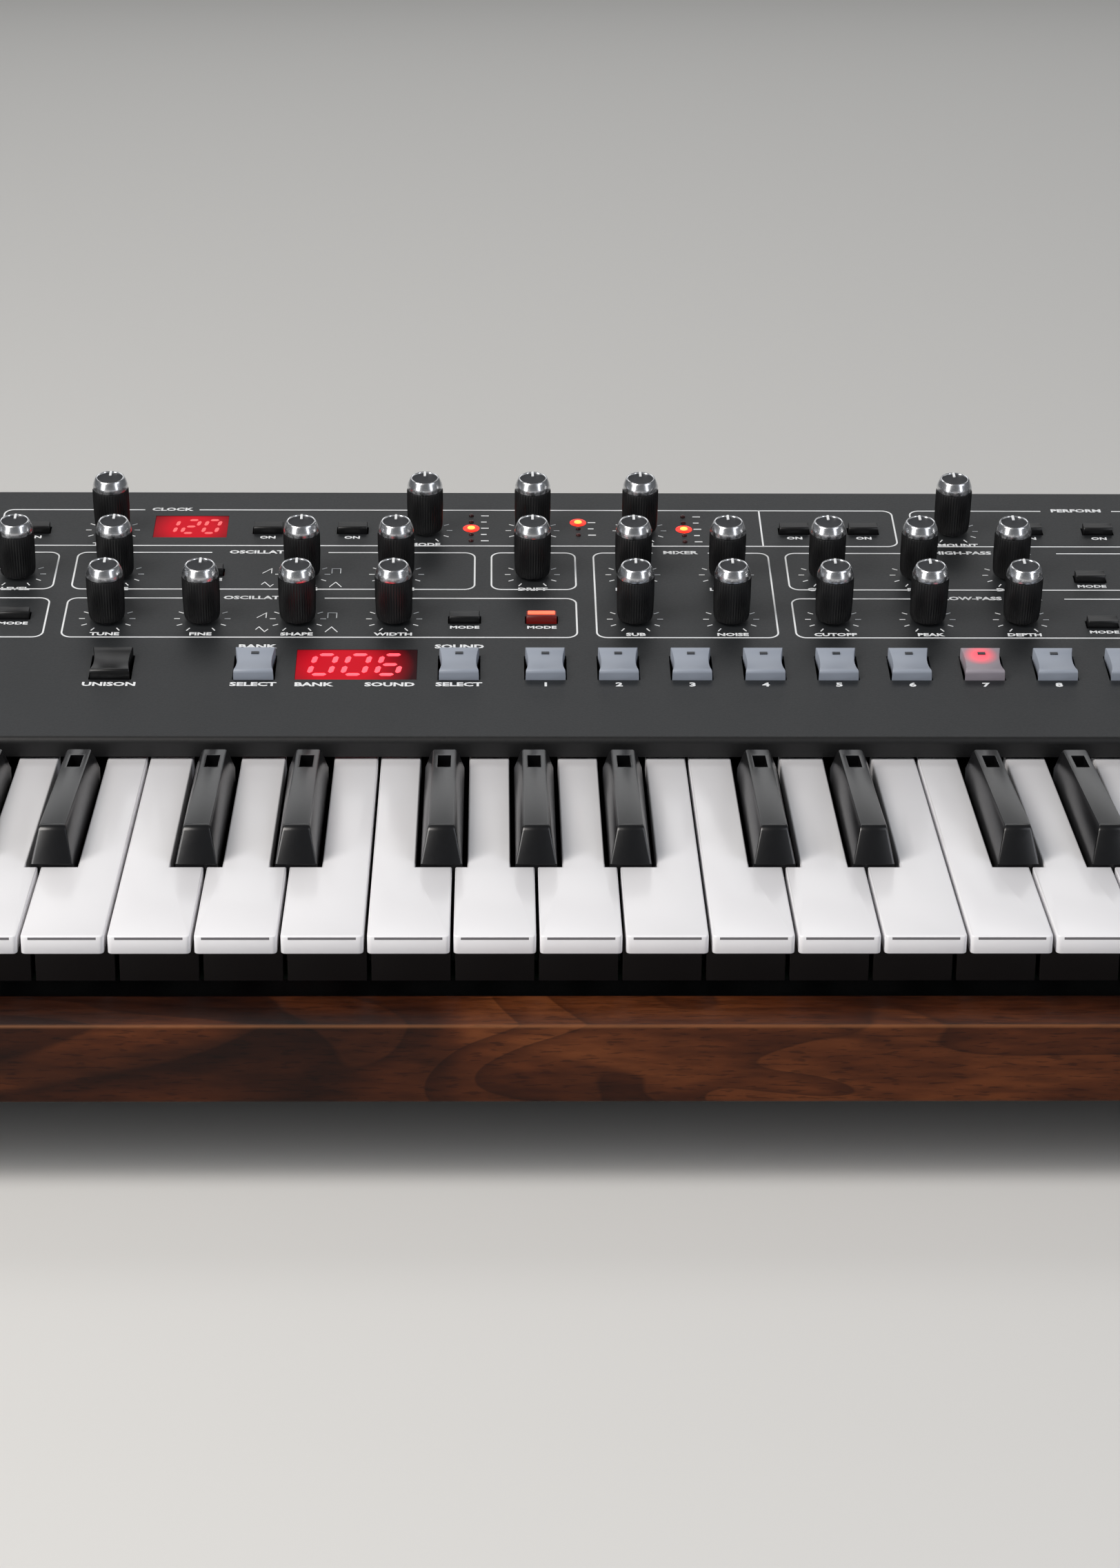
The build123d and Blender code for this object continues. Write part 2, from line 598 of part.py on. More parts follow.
def wheel_plate():
    """Steel plate left of the keys: welded strips round the wheel slots, brackets and a fixed axle."""
    top = WHEEL_PLATE_TOP
    right = WHEEL_PLATE_RIGHT
    y = (RAIL_REAR + 2, PANEL_FRONT_Y + 12)
    z = (top - SHEET, top)
    skirt = (RAIL_TOP - 10, top - SHEET)
    slot = (WHEEL_Y - SLOT_LENGTH / 2, WHEEL_Y + SLOT_LENGTH / 2)
    plates = [
        block((-INNER, right), (y[0], slot[0]), z),
        block((-INNER, right), (slot[1], y[1]), z),
        block((-INNER, right - SHEET), (y[0], y[0] + SHEET), skirt),
        block((right - SHEET, right), y, skirt),
    ]
    xs = list(WHEEL_X.values())
    half = SLOT_WIDTH / 2
    plates.append(block((-INNER, xs[0] - half), slot, z))
    plates.append(block((xs[0] + half, xs[1] - half), slot, z))
    plates.append(block((xs[1] + half, right), slot, z))
    offset = WHEEL_WIDTH / 2 + 2.5
    axle_x = (xs[0] - offset - 1, xs[1] + offset + 1)
    bore = rod_x((axle_x[0] - 1, axle_x[1] + 1), WHEEL_Y, WHEEL_Z, AXLE_R)
    for x in (xs[0] - offset, (xs[0] + xs[1]) / 2, xs[1] + offset):
        plates.append(block((x - 1, x + 1), (WHEEL_Y - 8, WHEEL_Y + 8), (WHEEL_Z - 7, top - SHEET)) - bore)
    return [*plates, rod_x(axle_x, WHEEL_Y, WHEEL_Z, AXLE_R)]


def wheel(x, lean):
    """Thumb wheel with a dished grip, turned towards the player by an angle."""
    half = WHEEL_WIDTH / 2
    body = rod_x((-half, half), 0, 0, WHEEL_R)
    body = fillet(body.edges(), 1.5)
    body -= rod_x((-half - 1, half + 1), 0, 0, AXLE_BORE_R)
    body -= rod_x((-half - 1, half + 1), 0, WHEEL_R + 5.0, 8.0)
    return Pos(x, WHEEL_Y, WHEEL_Z) * Rot(lean, 0, 0) * body


# ---------------------------------------------------------------- electronics and rear

def socket_module(x, pitch, depth):
    """A socket's moulded body, its face flush with the rear panel."""
    half = SOCKET_HEIGHT / 2
    gap = 0.05
    y = (REAR_PANEL_FACE - depth, REAR_PANEL_FACE)
    return block((x - pitch / 2 + gap, x + pitch / 2 - gap), y, (REAR_Z - half, REAR_Z + half))


def rear_sockets():
    """Eight jack sockets, three round connectors and one square connector, side by side."""
    sockets = []
    for x in JACK_X:
        nut = rod_y(x, (REAR_PANEL_FACE, REAR), REAR_Z, 7.0)
        bore = rod_y(x, (REAR_PANEL_FACE - JACK_DEPTH, REAR + 1), REAR_Z, JACK_R)
        sockets.append(socket_module(x, JACK_PITCH, JACK_DEPTH + 2) + nut - bore)
    bottom = REAR_PANEL_FACE - DATA_DEPTH
    for x in DATA_X[:-1]:
        cup = rod_y(x, (bottom, REAR), REAR_Z, DIN_R)
        sockets.append(socket_module(x, DATA_PITCH, DATA_DEPTH + 3) - cup)
    x = DATA_X[-1]
    half = USB_HEIGHT / 2
    mouth = block((x - USB_WIDTH / 2, x + USB_WIDTH / 2), (bottom, REAR), (REAR_Z - half, REAR_Z + half))
    sockets.append(socket_module(x, DATA_PITCH, DATA_DEPTH + 3) - mouth)
    return sockets


def power_inlet():
    """Three-pin mains inlet with flange and blades, and the rocker's housing with its pin."""
    inside = REAR_PANEL_FACE - SHEET
    body = y_centred(INLET_X, (inside - 18, REAR_PANEL_FACE), INLET_BODY, SOCKET_HEIGHT)
    body += y_centred(INLET_X, (REAR_PANEL_FACE, REAR), INLET_BODY + 20, SOCKET_HEIGHT + 3)
    floor = REAR - INLET_DEPTH
    body -= y_centred(INLET_X, (floor, REAR + 1), INLET_WIDTH, INLET_HEIGHT)
    for x, z_blade in ((-7.0, -2.0), (0.0, 2.0), (7.0, -2.0)):
        body += centred(INLET_X + x, floor + 5.0, 2.0, 12.0, (REAR_Z + z_blade - 2, REAR_Z + z_blade + 2))
    housing = y_centred(SWITCH_X, (inside - 12, REAR_PANEL_FACE), ROCKER_BODY, SOCKET_HEIGHT)
    housing += y_centred(SWITCH_X, (REAR_PANEL_FACE, REAR), ROCKER_BODY + 3, SOCKET_HEIGHT + 3)
    housing -= y_centred(SWITCH_X, (inside - 10, REAR + 1), ROCKER_WIDTH + 0.6, ROCKER_HEIGHT + 2.0)
    pin = (SWITCH_X - ROCKER_BODY / 2 + 0.5, SWITCH_X + ROCKER_BODY / 2 - 0.5)
    housing += rod_x(pin, ROCKER_Y, REAR_Z, ROCKER_PIN_R)
    return [body, housing]


def power_switch():
    """Rocker on a horizontal pin, resting at off."""
    half = (ROCKER_WIDTH / 2, ROCKER_HEIGHT / 2)
    rocker = block((-half[0], half[0]), (-ROCKER_DEPTH, ROCKER_DEPTH), (-half[1], half[1]))
    rocker = fillet(rocker.edges().filter_by(Axis.X).filter_by(lambda e: e.center().Y > 0), 0.8)
    rocker -= rod_x((-half[0] - 1, half[0] + 1), 0, 0, ROCKER_PIN_R + 0.05)
    return Pos(SWITCH_X, ROCKER_Y, REAR_Z) * Rot(ROCKER_TILT, 0, 0) * rocker


def main_board():
    """Main circuit board on its pillars, with its larger chips."""
    board = block((-190.0, 190.0), (78.0, 148.0), (BOARD_Z, BOARD_Z + BOARD))
    for i in range(6):
        board += centred(-150.0 + 60.0 * i, 105.0, 22.0, 22.0, (BOARD_Z + BOARD, 25.0))
    return board


def power_supply():
    """Enclosed supply unit beside the inlet."""
    return block((255.0, 345.0), (76.0, 134.0), (FLOOR_TOP, 44.0))


# ---------------------------------------------------------------- build

def build():
    os.makedirs("parts", exist_ok=True)
    write("base_pan", base_pan())
    write("control_panel", control_panel())
    write("rear_panel", rear_panel())
    write("left_cheek", cheek(-1))
    write("right_cheek", cheek(1))
    write("front_rail", front_rail())
    write("rubber_feet", rubber_feet())
    write("case_screws", case_screws())
    write("keybed_frame", keybed_frame())
    write("key_springs", key_springs())
    write("key_contact_board", key_contact_board())
    for semitone, name in enumerate(NOTE_NAMES):
        write(f"keys_{name}", key_group(semitone))
    knob = knob_shape()
    for name, (x, w) in KNOBS.items():
        write(name, PANEL * Pos(x, w, 0) * knob)
    write("side_knobs", [PANEL * Pos(x, w, 0) * knob for x, w in SIDE_KNOBS])
    write("potentiometers", potentiometers())
    grey, black = buttons()
    write("grey_buttons", [button_cap(*button) for button in grey])
    write("black_buttons", [button_cap(*button) for button in black])
    write("panel_board", panel_board())
    write("display_windows", display_windows())
    write("wheel_plate", wheel_plate())
    write("pitch_wheel", wheel(WHEEL_X["pitch_wheel"], 0))
    write("mod_wheel", wheel(WHEEL_X["mod_wheel"], MOD_REST_ANGLE))
    write("rear_sockets", rear_sockets())
    write("power_inlet", power_inlet())
    write("power_switch", power_switch())
    write("main_board", main_board())
    write("power_supply", power_supply())


build()
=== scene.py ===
import json
from math import atan2, cos, pi, radians, sin

import bmesh
import bpy
from mathutils import Matrix, Vector


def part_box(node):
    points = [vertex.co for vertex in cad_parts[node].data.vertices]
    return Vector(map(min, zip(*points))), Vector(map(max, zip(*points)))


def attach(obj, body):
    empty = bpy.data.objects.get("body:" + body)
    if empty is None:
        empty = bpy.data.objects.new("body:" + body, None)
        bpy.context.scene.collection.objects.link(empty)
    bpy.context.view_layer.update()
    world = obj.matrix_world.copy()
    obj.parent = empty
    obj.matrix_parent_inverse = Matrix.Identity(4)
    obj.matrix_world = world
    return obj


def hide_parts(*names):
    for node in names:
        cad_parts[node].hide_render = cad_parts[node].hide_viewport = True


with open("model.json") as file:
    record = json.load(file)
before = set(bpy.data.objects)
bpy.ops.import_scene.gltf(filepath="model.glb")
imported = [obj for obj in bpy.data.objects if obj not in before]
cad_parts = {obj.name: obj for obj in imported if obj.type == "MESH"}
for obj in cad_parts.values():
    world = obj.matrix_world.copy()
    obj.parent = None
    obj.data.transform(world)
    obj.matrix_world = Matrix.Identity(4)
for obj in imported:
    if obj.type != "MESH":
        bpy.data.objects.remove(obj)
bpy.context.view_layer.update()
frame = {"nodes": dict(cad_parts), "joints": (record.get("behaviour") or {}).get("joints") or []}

MM = 0.001
PER_MM = 1 / MM
UNTURNED = Matrix.Identity(4)
BROAD_FACE = 60 * MM * MM
X_AXIS, Y_AXIS, Z_AXIS = (1, 0, 0), (0, 1, 0), (0, 0, 1)

# The sloping panel: its own axes are X, then up the slope, then out of its face.
knob_joints = {j["child"]: j for j in frame["joints"] if j["child"].endswith("_knob")}
panel_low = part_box("control_panel")[0]
facing = Vector(knob_joints["drift_knob"]["axis"])
TILT = atan2(-facing.y, facing.z)
a_knob = Vector(knob_joints["drift_knob"]["pos_m"])
front_z = a_knob.z - (a_knob.y - panel_low.y) * sin(TILT) / cos(TILT)
PANEL = Matrix.Translation((0, panel_low.y, front_z)) @ Matrix.Rotation(TILT, 4, "X")

# How far back the painted shade on the panel's folded front lip reaches, and the places on the panel of the
# two buttons that are lit.
LIP_SHADE_DEPTH = 1.6 * MM
LIT_PROGRAM_X, LIT_PROGRAM_W = 125.2 * MM, 47.2 * MM
LIT_BLACK_X, LIT_BLACK_W = -13.9 * MM, 75.2 * MM


# ---------------------------------------------------------------- materials

def colour(code):
    """Linear colour of an sRGB hex code."""
    parts = [int(code[i:i + 2], 16) / 255 for i in (1, 3, 5)]
    linear = [c / 12.92 if c <= 0.04045 else ((c + 0.055) / 1.055) ** 2.4 for c in parts]
    return (*linear, 1.0)


def wire(material, node, inputs):
    """Set or link a node's inputs; a node given as an input stands for its first output."""
    for key, value in inputs.items():
        if isinstance(value, bpy.types.Node):
            value = value.outputs[0]
        if isinstance(value, bpy.types.NodeSocket):
            material.node_tree.links.new(value, node.inputs[key])
        else:
            node.inputs[key].default_value = value


def add(material, kind, inputs=None, stops=(), **settings):
    """Add a shader node with its settings, its inputs and, on a ramp, its (position, hex code) stops."""
    node = material.node_tree.nodes.new("ShaderNode" + kind)
    for key, value in settings.items():
        setattr(node, key, value)
    wire(material, node, inputs or {})
    if stops:
        elements = node.color_ramp.elements
        while len(elements) < len(stops):
            elements.new(0.5)
        for element, (position, code) in zip(elements, stops):
            element.position = position
            element.color = colour(code)
    return node


def new_material(name, **surface):
    """A Principled material; each surface value is set on, or linked to, its socket."""
    material = bpy.data.materials.new(name)
    material.use_nodes = True
    material.node_tree.nodes.clear()
    shader = add(material, "BsdfPrincipled")
    add(material, "OutputMaterial", {"Surface": shader})
    dress(material, **surface)
    return material


def dress(material, **surface):
    """Set or link sockets of the material's Principled shader, named with underscores."""
    shader = next(n for n in material.node_tree.nodes if n.type == "BSDF_PRINCIPLED")
    wire(material, shader, {key.replace("_", " "): value for key, value in surface.items()})


def powder_coat(name, code_low, code_high, lip=False):
    """Powder-coated steel, sprayed and baked: an even orange-peel grain that gives a soft, wide sheen."""
    material = new_material(name, IOR=1.5)
    where = add(material, "TexCoord").outputs["Object"]
    # The grain is 0.7 mm across, about twice the real one, so that it shows.
    grain = add(material, "TexNoise", {"Vector": where, "Scale": 1.4 * PER_MM, "Detail": 3.0})
    cloud = add(material, "TexNoise", {"Vector": where, "Scale": 0.009 * PER_MM, "Detail": 2.0})
    coat = add(material, "ValToRGB", {0: cloud}, [(0.3, code_low), (0.7, code_high)])
    if lip:
        # Painted shade: the folded front lip, which stands in shadow, is painted near black.
        along = add(material, "SeparateXYZ", {0: where}).outputs["Y"]
        behind = add(material, "Math", {0: along, 1: panel_low.y + LIP_SHADE_DEPTH}, operation="GREATER_THAN")
        lip_painted_shade = add(material, "Mix", {0: behind, 6: colour("#0a0a0b"), 7: coat}, data_type="RGBA")
        coat = lip_painted_shade.outputs[2]
    dress(
        material,
        Base_Color=coat,
        Roughness=add(material, "MapRange", {"Value": grain, "To Min": 0.42, "To Max": 0.58}),
        Normal=add(material, "Bump", {"Height": grain, "Distance": 0.06 * MM, "Strength": 0.5}),
    )
    return material


def walnut():
    """Oiled black walnut: growth layers dark at one edge and fading, fine fibre and short open pores."""
    material = new_material("oiled_walnut", IOR=1.46, Specular_IOR_Level=0.2)
    where = add(material, "TexCoord").outputs["Object"]
    # The boards are sawn along X, so every pattern is drawn out along X.
    sawn = add(material, "Mapping", {"Vector": where, "Scale": (0.36, 1.0, 1.0)})
    along_fibre = add(material, "Mapping", {"Vector": where, "Scale": (70.0, 420.0, 420.0)})
    along_pores = add(material, "Mapping", {"Vector": where, "Scale": (160.0, 1300.0, 1300.0)})
    cloud = add(material, "TexNoise", {"Vector": sawn, "Scale": 22.0, "Detail": 3.0, "Distortion": 1.2})
    base = add(material, "ValToRGB", {0: cloud},
               [(0.3, "#1f0b05"), (0.45, "#381909"), (0.57, "#4f260f"), (0.72, "#6b3a1c")])
    # Growth layers follow the level lines of a slow cloud, about 12 mm apart on the front face.
    swirl = add(material, "TexNoise", {"Vector": sawn, "Scale": 11.0, "Detail": 2.0, "Distortion": 0.8})
    rings = add(material, "Math", {0: swirl, 1: 11.0}, operation="MULTIPLY")
    layer = add(material, "Math", {0: rings}, operation="FRACT")
    layer_tones = [(0.0, "#70594b"), (0.1, "#a38d80"), (0.5, "#f2eae5"), (0.96, "#ffffff"), (1.0, "#70594b")]
    growth = add(material, "ValToRGB", {0: layer}, layer_tones)
    # Fibre 2.4 mm and pores 0.8 mm apart, both coarser than real ones so that they show.
    fibre = add(material, "TexNoise", {"Vector": along_fibre, "Scale": 1.0, "Detail": 5.0})
    pores = add(material, "TexNoise", {"Vector": along_pores, "Scale": 1.0, "Detail": 2.0})
    fine = add(material, "ValToRGB", {0: fibre}, [(0.35, "#a0928a"), (0.62, "#ffffff")])
    dark_pores = add(material, "ValToRGB", {0: pores}, [(0.36, "#4c3a32"), (0.43, "#ffffff")])
    wood = base
    for share, figure in ((0.62, growth), (0.6, fine), (0.45, dark_pores)):
        wood = add(material, "Mix", {0: share, 6: wood, 7: figure}, data_type="RGBA",
                   blend_type="MULTIPLY").outputs[2]
    # Painted highlight: the rail's top front arris is painted paler over about 1 mm, where light catches its
    # edge.
    rail_low, rail_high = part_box("front_rail")
    at = add(material, "SeparateXYZ", {0: where}).outputs
    behind = add(material, "Math", {0: at["Y"], 1: rail_low.y}, operation="SUBTRACT")
    below = add(material, "Math", {0: rail_high.z, 1: at["Z"]}, operation="SUBTRACT")
    off_arris = add(material, "Math", {0: behind, 1: below}, operation="MAXIMUM")
    arris_highlight = add(material, "MapRange",
                 {"Value": off_arris, "From Min": 1.0 * MM, "From Max": 0.3 * MM, "To Max": 0.3})
    arris_highlighted_wood = add(material, "Mix", {0: arris_highlight, 6: wood, 7: colour("#a9744f")}, data_type="RGBA")
    dress(
        material,
        Base_Color=arris_highlighted_wood.outputs[2],
        Roughness=add(material, "MapRange", {"Value": fibre, "To Min": 0.36, "To Max": 0.5}),
        Normal=add(material, "Bump", {"Height": pores, "Distance": 0.06 * MM, "Strength": 0.35}),
    )
    return material


def moulded(name, code, roughness, grain=0.9, depth=0.02, mottled=0.06, **more):
    """Moulded plastic: one colour, faintly mottled, over a fine texture (cells per mm, depth in mm)."""
    material = new_material(name, IOR=1.5, **more)
    where = add(material, "TexCoord").outputs["Object"]
    texture = add(material, "TexNoise", {"Vector": where, "Scale": grain * PER_MM, "Detail": 2.0})
    mottle = add(material, "TexNoise", {"Vector": where, "Scale": 0.06 * PER_MM})
    shade = add(material, "MapRange", {"Value": mottle, "To Min": 1 - mottled, "To Max": 1 + mottled})
    gloss = {"Value": texture, "To Min": roughness * 0.9, "To Max": roughness * 1.1}
    dress(
        material,
        Base_Color=add(material, "HueSaturation", {"Value": shade, "Color": colour(code)}),
        Roughness=add(material, "MapRange", gloss),
        Normal=add(material, "Bump", {"Height": texture, "Distance": depth * MM, "Strength": 0.4}),
    )
    return material


def bright_metal(name, code, roughness):
    """Turned, brushed or plated metal: a bright gloss, broken by marks 0.4 mm across."""
    material = new_material(name, Metallic=1.0, Base_Color=colour(code))
    where = add(material, "TexCoord").outputs["Object"]
    marks = add(material, "TexNoise", {"Vector": where, "Scale": 2.6 * PER_MM, "Detail": 1.0})
    gloss = {"Value": marks, "To Min": roughness * 0.8, "To Max": roughness * 1.25}
    dress(
        material,
        Roughness=add(material, "MapRange", gloss),
        Normal=add(material, "Bump", {"Height": marks, "Distance": 0.01 * MM, "Strength": 0.3}),
    )
    return material


def glow_ball(material, x, w, h, reach):
    """A ball of light round a place on the panel: 1 at its centre, 0 at its reach."""
    grown = 1 / reach
    centre = PANEL @ Vector((x, w, h))
    where = add(material, "TexCoord").outputs["Object"]
    near = add(material, "Mapping", {"Vector": where, "Location": -centre * grown, "Scale": (grown,) * 3})
    return add(material, "TexGradient", {0: near}, gradient_type="SPHERICAL")


def glowing_cap():
    """Translucent grey ABS lit from inside: a red glow about 5 mm across that fades into the grey."""
    material = new_material("lit_translucent_abs", IOR=1.5, Roughness=0.4)
    ball = glow_ball(material, LIT_PROGRAM_X, LIT_PROGRAM_W, 3.5 * MM, 6.5 * MM)
    dress(
        material,
        Base_Color=add(material, "ValToRGB", {0: ball}, [(0.0, "#968f97"), (0.7, "#c06a74")]),
        Emission_Color=add(material, "ValToRGB", {0: ball}, [(0.15, "#000000"), (0.9, "#ff2c44")]),
        Emission_Strength=0.9,
    )
    return material


def display_field():
    """Tinted acrylic lit from behind: a red field, brighter round the digits and darker at its corners."""
    material = new_material("lit_red_acrylic", IOR=1.49, Roughness=0.5, Specular_IOR_Level=0.1)
    program_glow = glow_ball(material, -78.0 * MM, 44.8 * MM, 0, 25.0 * MM)
    tempo_glow = glow_ball(material, -131.5 * MM, 139.6 * MM, 0, 19.0 * MM)
    lit = add(material, "Math", {0: program_glow, 1: tempo_glow}, operation="MAXIMUM")
    red_light = [(0.05, "#200003"), (0.3, "#9c0012"), (0.6, "#e0001e")]
    dress(
        material,
        Base_Color=add(material, "ValToRGB", {0: lit}, [(0.0, "#1c0205"), (0.6, "#4a030b")]),
        Emission_Color=add(material, "ValToRGB", {0: lit}, red_light),
        Emission_Strength=0.75,
    )
    return material


def lit_plastic(name, code, glow, strength, roughness=0.3):
    """Coloured plastic with a lamp behind it: its own colour, and an even glow that shows in any light."""
    return moulded(name, code, roughness, Emission_Color=colour(glow), Emission_Strength=strength)


# The panel's coat carries painted shade on its folded front lip.
PANEL_COAT_AND_LIP_SHADE = powder_coat("charcoal_powder_coat_painted_lip_shade", "#1b1d1f", "#202224", lip=True)
CASE_COAT = powder_coat("black_powder_coat", "#0c0c0e", "#111113")
WALNUT = walnut()

# Keys are moulded in polished tools: nearly flat faces under a clear, slightly blurred gloss.
KEY_WHITE = moulded("moulded_white_key", "#f1f0f2", 0.3, depth=0.004, mottled=0.01,
                    Coat_Weight=0.25, Coat_Roughness=0.12)
KEY_BLACK = moulded("moulded_black_key", "#0b0b0d", 0.3, depth=0.006, Coat_Weight=0.3, Coat_Roughness=0.2)
# Painted shadow: mid grey for the fine shadow line under each white key's top edge.
LIP_SHADOW_GREY = moulded("painted_key_lip_shadow", "#6f6d70", 0.5)
# The weights below the white keys are painted: warm, very dark and dull.
KEY_WEIGHT = moulded("black_key_weight", "#352f2e", 0.5)

# Black knob skirts are satin and grainy; their caps are turned bright, and the dish in each cap has a dark
# metal colour as a painted reflection of dark surroundings.
KNOB_BLACK = moulded("knurled_black_abs", "#0f0f10", 0.42, grain=1.5, depth=0.05)
CAP_METAL = bright_metal("polished_aluminium", "#e6e7e9", 0.24)
DISH_DARK_REFLECTION_METAL = bright_metal("brushed_aluminium_painted_dark_reflection", "#3c3d40", 0.42)
# Screen ink: flat, matt and not quite white.
INK = moulded("white_screen_ink", "#eceeef", 0.5)

# ABS buttons: satin grey or glossy black, with a darker slot for the lamp in each grey one.
GREY_PLASTIC = moulded("grey_button_abs", "#959ca8", 0.4)
SMALL_BLACK = moulded("black_button_abs", "#0c0c0d", 0.35)
DARK_SLOT = moulded("button_light_slot", "#2c2f34", 0.4)
LIT_BUTTON = glowing_cap()
LIT_LENS = lit_plastic("lit_red_button_lens", "#ff7a5c", "#ff4020", 1.6)
WARM_BUTTON = lit_plastic("red_lit_button_abs", "#4a1210", "#ff2010", 0.06, roughness=0.35)

# Display digits glow paler than their field; the lights' orange domes outshine the painted red glow ring
# round each.
LIT_FIELD = display_field()
LIT_SEGMENT = lit_plastic("lit_red_segment", "#ff5a60", "#ff3848", 1.7, roughness=0.4)
DIM_SEGMENT = lit_plastic("dim_red_segment", "#c04a4c", "#ff6a6a", 0.6, roughness=0.4)
LIT_LED = lit_plastic("lit_orange_led", "#ff9a50", "#ff6a28", 5.0)
LED_HALO = lit_plastic("painted_red_led_glow", "#d02010", "#ff2408", 1.2)
UNLIT_LED = moulded("unlit_red_led", "#3c1211", 0.3)

# Rubber is dull and pitted, nylon satin; zinc is a cold grey, nickel a warmer and smoother one.
RUBBER = moulded("moulded_rubber", "#191919", 0.75, grain=0.7, depth=0.08)
SOCKET = moulded("black_nylon", "#121213", 0.45)
ZINC = bright_metal("zinc_plated_steel", "#a9abad", 0.35)
NICKEL = bright_metal("nickel_plated_brass", "#b9b5a8", 0.25)
# Solder mask over fibreglass: deep green with a satin gloss.
BOARD_GREEN = moulded("green_solder_mask", "#123d26", 0.35)


# ---------------------------------------------------------------- mesh tools

def merge(bm, gap=1e-7):
    """Join vertices that lie together."""
    bmesh.ops.remove_doubles(bm, verts=bm.verts, dist=gap)


def cut(bm, where, facing):
    """Cut every face along a plane."""
    bmesh.ops.bisect_plane(bm, geom=bm.verts[:] + bm.edges[:] + bm.faces[:], plane_co=where,
                           plane_no=facing)


def drawn_out(bm, faces, by):
    """Extrude faces by a vector."""
    grown = bmesh.ops.extrude_face_region(bm, geom=faces)
    far = [v for v in grown["geom"] if isinstance(v, bmesh.types.BMVert)]
    bmesh.ops.translate(bm, verts=far, vec=by)


def box(bm, low, high):
    """Add a box between two corners."""
    low, high = Vector(low), Vector(high)
    size = Matrix.Diagonal((*(high - low), 1))
    bmesh.ops.create_cube(bm, size=1.0, matrix=Matrix.Translation((low + high) / 2) @ size)


def turned(bm, profile, segments):
    """Spin a profile of (radius, height) points round Z and close it."""
    points = [bm.verts.new((r, 0, h)) for r, h in profile]
    edges = [bm.edges.new(pair) for pair in zip(points, points[1:])]
    bmesh.ops.spin(bm, geom=points + edges, axis=Z_AXIS, cent=(0, 0, 0), steps=segments,
                   angle=2 * pi, use_merge=True)
    merge(bm)


def slab(bm, outline, low, high):
    """A flat plate: a closed outline of (x, y) points between two heights."""
    foot = bm.faces.new([bm.verts.new((x, y, low)) for x, y in outline])
    drawn_out(bm, [foot], (0, 0, high - low))


def bevel(bm, edges, size, segments=2):
    """Round edges."""
    bmesh.ops.bevel(bm, geom=list(edges), offset=size, offset_type="OFFSET", segments=segments,
                    affect="EDGES", profile=0.5, material=-1)


def upright(edges):
    """Edges that run along Z."""
    return [e for e in edges if abs(e.verts[0].co.z - e.verts[1].co.z) > 0.9 * e.calc_length()]


def copy_into(bm, part, place):
    """Add a placed copy of one bmesh to another."""
    mesh = bpy.data.meshes.new("part")
    part.to_mesh(mesh)
    mesh.transform(place)
    bm.from_mesh(mesh)
    bpy.data.meshes.remove(mesh)


def piece(name, bm, material, body, place=UNTURNED, replaces=(), smooth_below=35.0):
    """Make a placed, shaded object that rides on a body."""
    bmesh.ops.transform(bm, matrix=place, verts=bm.verts)
    bmesh.ops.recalc_face_normals(bm, faces=bm.faces)
    mesh = bpy.data.meshes.new(name)
    bm.to_mesh(mesh)
    bm.free()
    mesh.materials.append(material)
    # Broad flat faces stay flat, so that rounded edges don't shade them.
    mesh.polygons.foreach_set("use_smooth", [face.area < BROAD_FACE for face in mesh.polygons])
    mesh.set_sharp_from_angle(angle=radians(smooth_below))
    obj = bpy.data.objects.new(name, mesh)
    bpy.context.scene.collection.objects.link(obj)
    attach(obj, body)
    if replaces:
        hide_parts(*replaces)
    return obj


def solids_of(node, to_local=UNTURNED):
    """Lowest and highest corner of each separate solid of a CAD node, in local axes."""
    bm = bmesh.new()
    bm.from_mesh(frame["nodes"][node].data)
    merge(bm, 1e-6)
    waiting = set(bm.verts)
    found = []
    while waiting:
        reach = [waiting.pop()]
        members = []
        while reach:
            vert = reach.pop()
            members.append(to_local @ vert.co)
            for edge in vert.link_edges:
                other = edge.other_vert(vert)
                if other in waiting:
                    waiting.discard(other)
                    reach.append(other)
        low = Vector([min(p[i] for p in members) for i in range(3)])
        high = Vector([max(p[i] for p in members) for i in range(3)])
        found.append((low, high))
    bm.free()
    return sorted(found, key=lambda pair: (round(pair[0].x, 4), pair[0].y))


def finish_node(node, material):
    """Give a CAD node its finish."""
    mesh = frame["nodes"][node].data
    mesh.materials.clear()
    mesh.materials.append(material)


# ---------------------------------------------------------------- keys

KEY_GROUPS = [n for n in frame["nodes"] if n.startswith("keys_")]
white_low, white_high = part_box("keys_d")
KEY_TOP = white_high.z
KEY_FRONT = white_low.y
KEY_REAR = panel_low.y + 5 * MM
SHOULDER = KEY_FRONT + 49.5 * MM
KEY_LIP = KEY_TOP - 5.3 * MM
WEIGHT_FRONT = KEY_FRONT + 27 * MM
WEIGHT_BOTTOM = KEY_TOP - 25.4 * MM
# The gap between two white keys' narrow parts, which a black key stands in.
NOTCH = 14.9 * MM
# A black key's length and half widths, how far its front rakes back, and how high its rear end stands.
BLACK_LENGTH = 77.5 * MM
BLACK_FOOT, BLACK_CROWN = 5.95 * MM, 3.75 * MM
BLACK_RAKE = 4.6 * MM
BLACK_REAR = 6.3 * MM
# The window in a black key's top, measured forwards from its rear end, its wall and its depth.
WINDOW = (19.2 * MM, 5.3 * MM)
WINDOW_WALL = 1.1 * MM
WINDOW_DEPTH = 3.2 * MM
BLACK_X = [
    (low.x + high.x) / 2
    for group in KEY_GROUPS if group.endswith("_sharp")
    for low, high in solids_of(group)
]


def notches(left, right):
    """Where the part of a white key between its black neighbours starts and ends."""
    notch_left, notch_right = left, right
    for x in BLACK_X:
        if left < x + NOTCH / 2 < right:
            notch_left = x + NOTCH / 2
        if left < x - NOTCH / 2 < right:
            notch_right = x - NOTCH / 2
    return notch_left, notch_right


